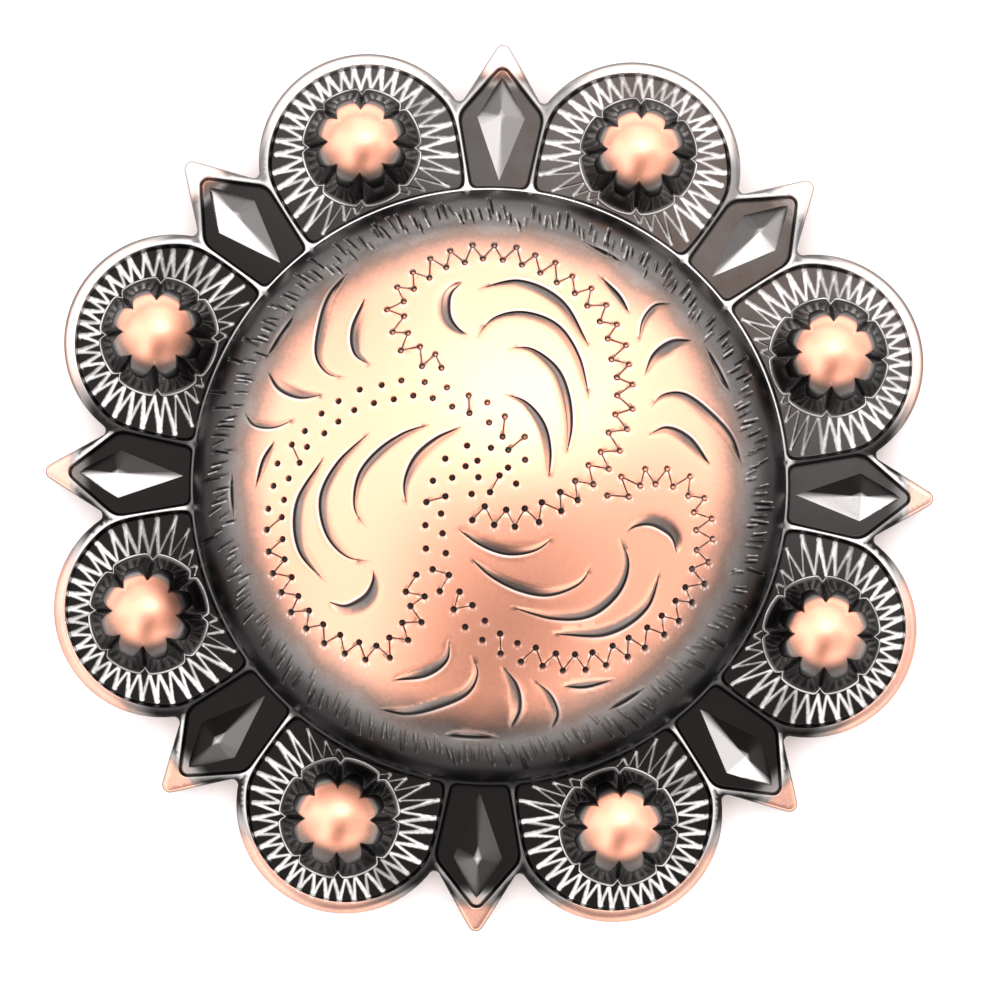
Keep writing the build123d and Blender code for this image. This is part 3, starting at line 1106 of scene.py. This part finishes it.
def levelLine(inner, direction, level, which):
    # the line round a field on which its depth inside has this value
    near = np.zeros(len(direction))
    far = np.full(len(direction), 5.0)
    for _ in range(26):
        middle = (near + far) / 2
        deep = fieldShares(inner + direction * middle)[which] > level
        near = np.where(deep, middle, near)
        far = np.where(deep, far, middle)
    return inner + direction * near


def wallLines(inner, which):
    # lines down a field's wall, with their points side by side
    rays = levelLine(inner, circle(0, 1, 720), 0, which)
    rays = evenly(np.append(rays, rays[0]), 0.1)[:-1] - inner
    rays = rays / abs(rays)
    half = rosette["wall"] / 2
    shares = (-1.4, -1.0, -0.6, 0.0, 0.6, 1.0, 1.5)
    return [levelLine(inner, rays, half * share, which) for share in shares]


def berryBars(k):
    # the zigzag round one berry, ending where it would meet a wall
    count = rosette["bars"]
    degrees = step * (k + 0.5)
    reachOut = np.linspace(rosette["barInner"], rosette["barLimit"], 60)
    corners = []
    for place in range(2 * count):
        turn = (place / 2 + random.gauss(0, rosette["barUneven"])) * fullTurn / count
        samples = berryCentre + reachOut * np.exp(1j * turn)
        # it runs up the crown's wall, and stops short of the dividers
        clear = rosette["barClear"] - 0.2 * smoothStep(samples.real, *rosette["climbsWall"])
        barOuter = rosette["barOuter"] + random.gauss(0, rosette["barStray"])
        within = abs(samples - rosette["barOuterCentre"]) < barOuter
        kept = samples[within & (fieldShares(turned(samples, step / 2))[0] > clear)]
        # the bar's painted highlight is fainter near the listed angles
        off = (math.degrees(turn) - np.array(rosette["faintBars"][k]) + 180) % 360 - 180
        dull = rosette["faintestBars"] * max(bell(off, 0, rosette["faintSpread"]))
        if len(kept) < 5:
            corners.append(None)
        else:
            corners.append((complex(turned(kept[-1 if place % 2 else 0], degrees)), 1 - dull))
    strokes = []
    for place, (here, there) in enumerate(zip(corners, corners[1:] + corners[:1])):
        if here is None or there is None:
            continue
        wide = rosette["backHalfWidth" if place % 2 else "barHalfWidth"]
        wide = wide * (0.93 + 0.07 * math.sin(math.radians(degrees)))  # finer at the bottom
        bright = here[1] * random.uniform(*rosette["barHighlight"])
        inner, outer = (there[0], here[0]) if place % 2 else (here[0], there[0])
        clearOfCollar = smoothStep(abs(inner + outer) / 2, *rosette["besideCollarTo"])
        beside = blend(rosette["besideCollar"], 1, clearOfCollar)
        strokes.append(Stroke(inner, outer, wide * beside, rosette["barDepth"],
                              rosette["barEnd"], bright * beside))
    return strokes


def onLobe(plan):
    return abs(lobeFrame(plan) - lobeCentre) < casting["lobeRadius"] + 0.01


def insideOutline(plan, faces, outline, inward, inset, least):
    # the faces whose middle lies so far in from the outline, and further out than the least radius
    middle = plan[faces].mean(axis=1)
    nearest = nearestTo(middle, outline)[1]
    side = ((middle - outline[nearest]) * inward[nearest].conjugate()).real
    return faces[(side > inset) & (abs(middle) > least * 0.9999)]


def crestHighlight(plan, toField, fall, crown, tip):
    # the painted highlight on the narrow crests between the fields, strongest on the side facing the light
    # and towards the top
    finishAndLight = rosetteFinishAndLight
    out = abs(plan)
    upward = plan.imag / out
    spikeTurn = np.radians(np.round(np.angle(plan, deg=True) / step) * step)
    across = 1j * np.exp(1j * spikeTurn) * np.sign((plan * np.exp(-1j * spikeTurn)).imag)
    facing = (across * finishAndLight["highlightFacing"].conjugate()).real
    leftOfTop = smoothStep(upward, 0.3, 1) * smoothStep(-plan.real / out, -0.15, 0.1)
    least, more = finishAndLight["dividerHighlight"]
    bright = least + more * np.clip(facing, 0, 1) ** 0.7 + finishAndLight["leftOfTopHighlight"] * leftOfTop
    bright = np.minimum(bright, finishAndLight["strongestHighlight"])

    towards = (turned(plan, -finishAndLight["collarTowards"]) / out).real
    least, sideways, more = finishAndLight["collarHighlight"]
    collarHighlight = least + sideways * (plan.real / out) ** 2 + more * smoothStep(towards, -0.1, 0.85)
    bright = blend(bright, collarHighlight, 1 - smoothStep(out - collarRadius, *finishAndLight["collar"]))
    onFlank = smoothStep(out, *finishAndLight["flank"]) * ~onLobe(plan) * (1 - tip)
    least, more = finishAndLight["flankHighlight"]
    bright = blend(bright, least + more * np.clip(-facing, 0, 1), onFlank)
    least, more = finishAndLight["crownHighlight"]
    bright = blend(bright, least + more * smoothStep(upward, -0.5, 0.8), crown)
    least, more = finishAndLight["tipHighlight"]
    bright = blend(bright, least + more * smoothStep(upward, -0.4, 0.9), tip)

    narrow = smoothStep(toField, -0.055, -0.09) * smoothStep(toField, -0.22, -0.15)
    broad = 1 - smoothStep(fall, 0.02 + 0.5 * crown, 0.25 + 0.65 * crown)
    return bright * np.maximum(narrow, np.maximum(crown, tip) * broad)


def makeRosette():
    layout = Layout()
    outline = plateOutline()
    tangents = np.roll(outline, -1) - np.roll(outline, 1)
    inward = 1j * tangents / abs(tangents)
    edgeRing = layout.line(outline, closed=True)
    underRadius = domeRadius - rosette["under"]
    underRing = layout.line(circle(0, underRadius, dome["rimPoints"]), closed=True)
    layout.points.extend(circle(0, collarRadius, 480))
    walls = wallLines(complex(turned(14.4 + 0j, step / 2)), 0) + wallLines(15.0 + 0j, 1)
    cuts = []
    for k in range(casting["petals"]):
        for line in walls:
            layout.line(turned(line, step * k), closed=True)
        cuts += berryBars(k)
    for stroke in cuts:
        layout.stroke(stroke, rosette["cutGrid"])
    crownEdge = smoothStep(abs(outline), *rosette["crownEdgeFrom"]) * onLobe(outline)
    edgeWidth = blend(rosette["edgeWidth"], rosette["crownEdgeWidth"], crownEdge)
    for share in (0.2, 0.45, 0.72, 1.0):
        layout.points.extend(outline + inward * edgeWidth * share)
    spacing, gap = rosette["grid"]
    grid = honeycomb(reach, spacing)
    grid = grid[(abs(grid) > underRadius + 0.08) & (abs(grid) < reach)]
    underBerry = abs(lobeFrame(grid) - berryCentre) < casting["berryRadius"] - 0.25
    coarse = honeycomb(reach, rosette["coarseGrid"])
    coarse = coarse[abs(lobeFrame(coarse) - berryCentre) < casting["berryRadius"] - 0.3]
    layout.fill(np.concatenate([grid[~underBerry], coarse]), gap)
    plan, faces, crisp, index = layout.triangles()
    faces = insideOutline(plan, faces, outline, inward, 0, underRadius)

    finishAndLight = rosetteFinishAndLight
    wall = rosette["wall"]
    out = abs(plan)
    lobeField, panel = fieldShares(plan)
    toField = np.maximum(lobeField, panel)
    alongSpike = spikeFrame(plan).real
    inPanel = panel > lobeField
    crown = smoothStep(out, *finishAndLight["crown"]) * onLobe(plan)
    foot = blend(wall / 2, rosette["crownWall"] - wall / 2, crown)
    fall = smoothStep((toField + wall / 2) / (foot + wall / 2), 0, 1)
    rise = rosette["tipRise"] * smoothStep(alongSpike, *rosette["riseFrom"]) * inPanel
    floor = np.minimum(fieldHeight + rise, borderHeight)
    barDepth, barHighlight = cutDepth(plan, cuts)
    toEdge = nearestTo(plan, evenly(np.append(outline, outline[0]), 0.03))[0]
    edgeShare = np.clip(1 - toEdge / edgeWidth[nearestTo(plan, outline)[1]], 0, 1)
    height = blend(borderHeight, floor, fall) - barDepth - rosette["edgeDrop"] * edgeShare**2

    upward = plan.imag / out
    tip = smoothStep(out, *finishAndLight["tip"]) * ~onLobe(plan)
    bare = np.maximum(crown, tip)
    # painted shade along the outer edge
    darkEdge = smoothStep(edgeShare, 0.45, 0.9)
    # the fields are painted lighter on the side facing the light
    lit = np.clip((turned(plan, -finishAndLight["litTowards"]) / out).real, 0, 1) ** 1.6
    spikeIndex = np.round(np.angle(plan, deg=True) / step).astype(int) % casting["petals"]
    lighterEnd = np.array(rosette["endLighter"])[spikeIndex] * smoothStep(alongSpike, *finishAndLight["climb"]) * inPanel
    patinaAndPaintedLight = 1 - (1 - finishAndLight["buffedPatina"]) * bare * (1 - smoothStep(fall, 0.05, 0.5))
    patinaAndPaintedLight = np.minimum(patinaAndPaintedLight, 1 - finishAndLight["endPatina"] * lighterEnd)
    # the outer edge towards the top is painted pale, a painted highlight
    topEdge = smoothStep(edgeShare, 0.5, 0.9) * smoothStep(upward, 0, 0.6)
    patinaAndPaintedLight = np.maximum(patinaAndPaintedLight, finishAndLight["paleTopEdge"] * topEdge)
    patinaAndPaintedLight = np.minimum(patinaAndPaintedLight, 1 - finishAndLight["litPatina"] * lit * fall)
    floorSoot = finishAndLight["sootAndPaintedShade"] - finishAndLight["litSoot"] * lit - lighterEnd
    # raised faces painted lighter towards the top of the picture
    topSoot = (finishAndLight["sootAndPaintedShade"] - finishAndLight["lighterAtTop"] * smoothStep(upward, 0.1, 0.9)) * (1 - bare)
    sootAndPaintedShade = blend(topSoot, floorSoot, smoothStep(fall, 0.2, 0.9))
    most, less = finishAndLight["wallSoot"]
    sootAndPaintedShade = np.maximum(sootAndPaintedShade, (most - less * crown) * np.clip(4 * fall * (1 - fall), 0, 1) ** 2)
    most, less = finishAndLight["edgeDarkening"]
    sootAndPaintedShade = np.maximum(sootAndPaintedShade, most * darkEdge * (1 - less * crown * smoothStep(upward, 0.3, -0.5)))
    # painted highlights on the crests and on the bars
    bright = np.maximum(crestHighlight(plan, toField, fall, crown, tip) * (1 - darkEdge), barHighlight)
    shape = Shape()
    shape.add(plan, height, patinaAndPaintedLight, sootAndPaintedShade, bright)
    shape.faces += faces.tolist()
    shape.crisp += crisp
    addRidges(shape)

    # sides, back edge, back, the core's wall and the land under the dome
    edgeHeight = borderHeight - rosette["edgeDrop"]
    backEdge = rosette["backEdge"]
    rings = [np.array([index[k] for k in edgeRing])]
    for share, sidePatina in finishAndLight["sides"]:
        down = blend(edgeHeight, backEdge, share)
        rings.append(shape.add(outline, down, sidePatina, finishAndLight["sideSoot"]))
    for turn in np.linspace(0, math.pi / 2, 4):
        inset = outline + inward * backEdge * (1 - math.cos(turn))
        rings.append(shape.add(inset, backEdge * (1 - math.sin(turn)), *backWear))
    shape.bands(rings)

    back = Layout()
    landRadius = coreRadius + 0.15
    outerRing = back.line(outline + inward * backEdge, closed=True)
    innerRing = back.line(circle(0, landRadius, dome["rimPoints"]), closed=True)
    backPlan, backFaces, _, backIndex = back.triangles()
    backFaces = insideOutline(backPlan, backFaces, outline, inward, backEdge, landRadius)
    landRing = shape.add(circle(0, landRadius, dome["rimPoints"]), 0.0, *backWear)
    places = np.zeros(len(backPlan), dtype=int)
    for k, ring in zip(outerRing + innerRing, list(rings[-1]) + list(landRing)):
        places[backIndex[k]] = ring
    shape.faces += places[backFaces].tolist()
    wallRings = shape.revolve([(coreRadius + 0.045, 0.045), (coreRadius, 0.15), (coreRadius, borderHeight)],
                              dome["rimPoints"], *backWear)
    under = np.array([index[k] for k in underRing])
    shape.bands([landRing] + wallRings + [under])
    return makePiece("rosette", shape, antiquedCopper, "casting")


makeRosette()


# Berries: a buffed cap with eight teeth over a dark fluted wall

berry = {
    "shoulderRadius": 1.95,
    "wallHeight": 1.2,
    "capRise": 0.85,
    "flutes": 8,
    "footDepth": 0.21,  # how far in a flute reaches at the foot
    "capDepth": 0.58,  # and at the cap
    "capWornTo": 1.66,  # the cap is buffed as far out as this
    "fluteAngle": 41,  # between a flute's side and its middle plane, in degrees
    "pointsPerFlute": 20,
    "capRings": 22,
    "wallRings": 20,
    "capEdge": 0.05,  # how far the cap's edge is rounded down
    "twist": 0.03,  # unevenness from berry to berry, in radians and in size
    "scale": (0.99, 1.01),
    "lipHeight": 0.05,  # a fine ridge round the foot
    "lipWidth": 0.12,
    # across that ridge: share of its width, share of its height, soot, and strength of its painted highlight
    "lip": ((0.2, 0.8, 0.8, 0.4), (0.5, 1.0, 0.7, 0.9), (0.8, 0.5, 0.8, 0.4)),
    # the painted highlight on that ridge varies at random within this range
    "lipHighlightRange": (0.2, 1.0),
    "sunk": 0.2,  # how far its foot goes down into the plate
    # painted shade on the cap's lower side and on its side towards the dome, darkening at its edge, and
    # blackening on the wall
    "lowerShade": 0.85,
    "lowerFrom": (0.7, 1.55),  # it begins and is full at these distances from the berry's middle
    "domeSideShade": 0.85,
    "domeSideFrom": (0.3, 1.25),
    "shadedTowards": 200,  # degrees in plan of the berries with most painted shade on the dome's side
    "wornFrom": (0.9, 1.7),  # the cap's copper is thinner from here out, more so on its lower side, which is painted shade
    "edgeDarkening": 0.94,
    "wallSoot": 0.94,
    # the wall's blackening is painted lighter where lit and on the side facing the dome
    "lessWhereLit": 0.6,
    "lessOnDomeSide": 0.35,
    "leastWallSoot": 0.2,
}


def capHeight(out):
    # the cap is part of a ball
    radius = berry["shoulderRadius"]
    rise = berry["capRise"]
    ball = (radius**2 + rise**2) / (2 * rise)
    return fieldHeight + berry["wallHeight"] + rise - ball + np.sqrt(ball**2 - out**2)


def fluted(angle, out, depth):
    # a circle with a V notch at each flute, its corners and the petals' ends rounded
    half = math.pi / berry["flutes"]
    fromTooth = abs((angle + half) % (2 * half) - half)
    gap = out * np.sin(half - fromTooth) / math.tan(math.radians(berry["fluteAngle"]))
    notched = smoothMin(np.full(len(angle), out), out - depth + gap, 0.08)
    return notched - 0.05 * (fromTooth / half) ** 4 * (1 - np.clip(gap / depth, 0, 1))


def addBerry(shape, k, angle, star, foot):
    turn = step * (k + 0.5)
    around = np.exp(1j * (angle + random.gauss(0, berry["twist"])))
    scale = random.uniform(*berry["scale"])
    rings = []

    def addRing(out, height, patinaAndPaintedLight, sootAndPaintedShade, bright=0.0):
        plan = turned(berryCentre + out * scale * around, turn)
        rings.append(shape.add(plan, height, patinaAndPaintedLight, sootAndPaintedShade, bright))

    facing = turned(around, turn)
    # painted shade on the cap's lower side and towards the dome, and painted light on the wall's upper side
    downward = 0.5 - 0.5 * facing.imag
    towardsDome = np.clip(-around.real, 0, 1)
    shadedHere = math.sqrt(max(0, math.cos(math.radians(turn - berry["shadedTowards"]))))
    lit = np.clip(facing.imag, 0, 1) * np.clip(math.sin(math.radians(turn)) + 0.5, 0, 1)
    wornTo = berry["capWornTo"] + 0.1 * around.real
    for share in np.linspace(0, 1, berry["capRings"])[1:]:
        out = star * share
        edge = smoothStep(out - wornTo, -0.25, 0.15)
        patinaAndPaintedLight = np.maximum(edge, smoothStep(out, *berry["wornFrom"]) * (0.15 + 0.55 * downward))
        sootAndPaintedShade = berry["lowerShade"] * smoothStep(out, *berry["lowerFrom"]) * downward**1.5
        domeSide = smoothStep(out, *berry["domeSideFrom"]) * towardsDome * shadedHere
        sootAndPaintedShade = np.maximum(sootAndPaintedShade, np.maximum(berry["domeSideShade"] * domeSide, berry["edgeDarkening"] * edge))
        addRing(out, capHeight(out) - berry["capEdge"] * smoothStep(share, 0.88, 1.0), patinaAndPaintedLight, sootAndPaintedShade)
    edgeHeight = capHeight(star) - berry["capEdge"]
    for share in np.linspace(0, 1, berry["wallRings"])[1:]:
        sootAndPaintedShade = berry["wallSoot"] - berry["lessWhereLit"] * lit * (1 - share)
        sootAndPaintedShade = np.maximum(sootAndPaintedShade - berry["lessOnDomeSide"] * towardsDome, berry["leastWallSoot"])
        addRing(blend(star, foot, share**1.15), blend(edgeHeight, fieldHeight, share), 1.0, sootAndPaintedShade)
    width, height = berry["lipWidth"], berry["lipHeight"]
    places = np.linspace(0, fullTurn, 25)
    # a painted highlight along the ridge round the foot, stronger or weaker at random
    markStrength = np.interp(angle, places, [random.uniform(*berry["lipHighlightRange"]) for _ in places])
    for across, rise, sootAndPaintedShade, bright in berry["lip"]:
        addRing(foot + width * across, fieldHeight + height * rise, 1.0, sootAndPaintedShade, bright * markStrength)
    addRing(foot + width, fieldHeight - 0.02, 1.0, 1.0)
    addRing(foot * 0.97, fieldHeight - berry["sunk"], 1.0, 1.0)
    shape.bands(rings)
    middle = turned(berryCentre + 0j, turn)
    shape.fan(rings[0], shape.add(middle, capHeight(0), 0.0, 0.0)[0])
    shape.fan(rings[-1], shape.add(middle, fieldHeight - berry["sunk"], 1.0, 1.0)[0])
    notches = [int(berry["pointsPerFlute"] * (j + 0.5)) for j in range(berry["flutes"])]
    wall = rings[berry["capRings"] - 2:-5]
    for first, second in zip(wall, wall[1:]):
        shape.crisp += [(first[n], second[n]) for n in notches]


def makeBerries():
    shape = Shape()
    count = berry["flutes"] * berry["pointsPerFlute"]
    angle = np.arange(count) * fullTurn / count
    star = fluted(angle, berry["shoulderRadius"], berry["capDepth"])
    foot = fluted(angle, casting["berryRadius"], berry["footDepth"])
    for k in range(casting["petals"]):
        addBerry(shape, k, angle, star, foot)
    return makePiece("berries", shape, antiquedCopper, "casting")


makeBerries()


# Post: a turned sleeve with its thread, mouth flush with the back

post = {
    "boreRadius": 1.73,
    "boreDepth": 4.6,
    "threadPitch": 0.794,
    "threadDepth": 0.33,
    "rowsPerPitch": 12,
    "points": 96,
    "firstRow": 0.1,
    "runOut": (0.05, 0.8),  # the thread dies away this far from the bore's end
    "mouth": 0.3,  # countersink at the mouth
    "edge": 0.12,
}


def makePost():
    shape = Shape()
    count = post["points"]
    outer = postHigh.x / mm
    length = postHigh.z / mm
    edge = post["edge"]
    radius, depth = post["boreRadius"], post["boreDepth"]
    outside = shape.revolve([(outer - edge, length), (outer, length - edge), (outer, edge),
                             (outer - edge, 0.0), (radius + post["mouth"], 0.0)], count)
    turn = np.arange(count) / count
    bore = []
    for height in np.arange(post["firstRow"], depth, post["threadPitch"] / post["rowsPerPitch"]):
        phase = (height / post["threadPitch"] - turn) % 1
        groove = post["threadDepth"] * (0.5 - 0.5 * np.cos(phase * fullTurn))
        fade = smoothStep(height, *(depth - left for left in post["runOut"]))
        mouth = np.clip(post["mouth"] - height, 0, 1)
        out = radius + np.maximum(groove * fade, mouth)
        bore.append(shape.add(out * np.exp(1j * turn * fullTurn), height))
    end = shape.revolve([(radius, depth)], count)
    shape.bands(outside + bore + end)
    shape.fan(end[-1], shape.add(0j, depth)[0])
    shape.fan(outside[0], shape.add(0j, length)[0])
    return makePiece("post", shape, turnedBrass, "screw_post")


makePost()
print("pieces made")


# Stage: white table, a white tent with a dark opening overhead, and the camera

stage = {
    "floorSize": 600,  # mm
    "floor": "#F2F2F3",
    "floorRoughness": 0.7,  # matt paper
    "tent": 2.45,  # brightness of the tent
    # What stands in its way, in degrees from overhead to the right and to the top of the picture:
    # soft from one radius to another, and the share of light that it keeps.
    "shades": (
        dict(toward=(22, -12), size=(17, 24), keep=0.5),
        dict(toward=(1, -13), size=(12, 17), keep=0.42),  # the hand that holds the camera
        dict(toward=(0, -27), size=(8, 17), keep=0.42),
        dict(toward=(-3, -39), size=(8, 18), keep=0.3),
        dict(toward=(-42, -16), size=(4, 18), keep=0.65),
        dict(toward=(-28, 34), size=(4, 18), keep=0.75),
        dict(toward=(55, -12), size=(10, 18), keep=0.65),
        dict(toward=(50, 26), size=(10, 18), keep=0.65),
    ),
    # the tent is open to one side, and the dark room shows through
    "opening": dict(side=106, edge=0.41, edgeSoft=0.08, low=63, high=52, soft=3, keep=0.45),
    # the lamps over the tent, and how much light each adds
    "lamps": (
        dict(toward=(2, 17), size=(3, 15), glow=1.3),
        dict(toward=(12, 15), size=(3, 13), glow=1.3),
    ),
    "distance": 150,  # from camera to object
    "tilt": 3,  # degrees, the camera stands towards -Y of straight above
    "roll": 1.8,
    "viewWidth": 41.64,
    "aim": (0.437, -0.625),  # the picture's middle, to the right of and above the object's
}


def makeFloor():
    half = stage["floorSize"] / 2 * mm
    mesh = bpy.data.meshes.new("table")
    corners = [(-half, -half, 0), (half, -half, 0), (half, half, 0), (-half, half, 0)]
    mesh.from_pydata(corners, [], [(0, 1, 2, 3)])
    table = bpy.data.objects.new("table", mesh)
    table.location.z = -0.01 * mm
    bpy.context.scene.collection.objects.link(table)
    material, tree = newMaterial("whitePaperTable")
    finishMaterial(tree, {"Base Color": colour(stage["floor"]), "Roughness": stage["floorRoughness"]}, {})
    mesh.materials.append(material)


def directionTo(toward):
    # a direction from degrees to the right and to the top of straight up
    right, top = (math.radians(v) for v in toward)
    angle = math.hypot(right, top)
    share = math.sin(angle) / angle if angle else 0
    return (right * share, top * share, math.cos(angle))


def makeTent():
    world = bpy.data.worlds.new("tent")
    world.use_nodes = True
    tree = world.node_tree
    tree.nodes.clear()
    facing = addNode(tree, "ShaderNodeTexCoord").outputs["Generated"]

    def between(value, start, stop, first, last):
        return addNode(tree, "ShaderNodeMapRange",
                       {"interpolation_type": "SMOOTHSTEP", "From Min": start, "From Max": stop,
                        "To Min": first, "To Max": last}, {"Value": value}).outputs[0]

    def along(direction):
        return addNode(tree, "ShaderNodeVectorMath", {"operation": "DOT_PRODUCT", 1: direction},
                       {0: facing}).outputs["Value"]

    def patch(area, outside, inside):
        inner, outer = (math.cos(math.radians(v)) for v in area["size"])
        return between(along(directionTo(area["toward"])), outer, inner, outside, inside)

    light = addNode(tree, "ShaderNodeValue").outputs[0]
    light.default_value = stage["tent"]
    opening = stage["opening"]
    soft = opening["soft"]
    high, higher, low, lower = (
        math.cos(math.radians(v))
        for v in (opening["high"] + soft, opening["high"], opening["low"], opening["low"] + soft))
    upwards = addNode(tree, "ShaderNodeSeparateXYZ", {}, {"Vector": facing}).outputs["Z"]
    belowTop = between(upwards, high, higher, 1.0, 0.0)
    aboveFoot = between(upwards, lower, low, 0.0, 1.0)
    gap = combine(tree, "MULTIPLY", belowTop, aboveFoot)
    sideways = np.exp(1j * math.radians(opening["side"]))
    edge, edgeSoft = opening["edge"], opening["edgeSoft"]
    side = along((sideways.real, sideways.imag, 0))
    gap = combine(tree, "MULTIPLY", gap, between(side, edge - edgeSoft, edge + edgeSoft, 0.0, 1.0))
    light = combine(tree, "MULTIPLY", light, scaled(tree, gap, opening["keep"] - 1, 1.0))
    for shade in stage["shades"]:
        light = combine(tree, "MULTIPLY", light, patch(shade, 1.0, shade["keep"]))
    for lamp in stage["lamps"]:
        light = combine(tree, "ADD", light, patch(lamp, 0.0, lamp["glow"]))
    backdrop = addNode(tree, "ShaderNodeBackground", {"Color": (1, 1, 1, 1)}, {"Strength": light})
    addNode(tree, "ShaderNodeOutputWorld", {}, {"Surface": backdrop.outputs[0]})
    bpy.context.scene.world = world


def makeCamera():
    camera = bpy.data.objects.new("camera", bpy.data.cameras.new("camera"))
    bpy.context.scene.collection.objects.link(camera)
    tilt = math.radians(stage["tilt"])
    roll = math.radians(stage["roll"])
    back = Vector((0, -math.sin(tilt), math.cos(tilt)))
    up = Vector((-math.sin(roll), math.cos(roll), 0))
    up = (up - back * up.dot(back)).normalized()
    right = up.cross(back)
    aim = (right * stage["aim"][0] + up * stage["aim"][1] + Vector((0, 0, borderHeight))) * mm
    place = aim + back * stage["distance"] * mm
    camera.matrix_world = Matrix.Translation(place) @ Matrix((right, up, back)).transposed().to_4x4()
    camera.data.sensor_width = 36
    camera.data.lens = 36 * stage["distance"] / stage["viewWidth"]
    camera.data.clip_start = 0.001
    bpy.context.scene.camera = camera


makeFloor()
makeTent()
makeCamera()
bpy.context.scene.view_settings.view_transform = "Standard"
print("stage made")
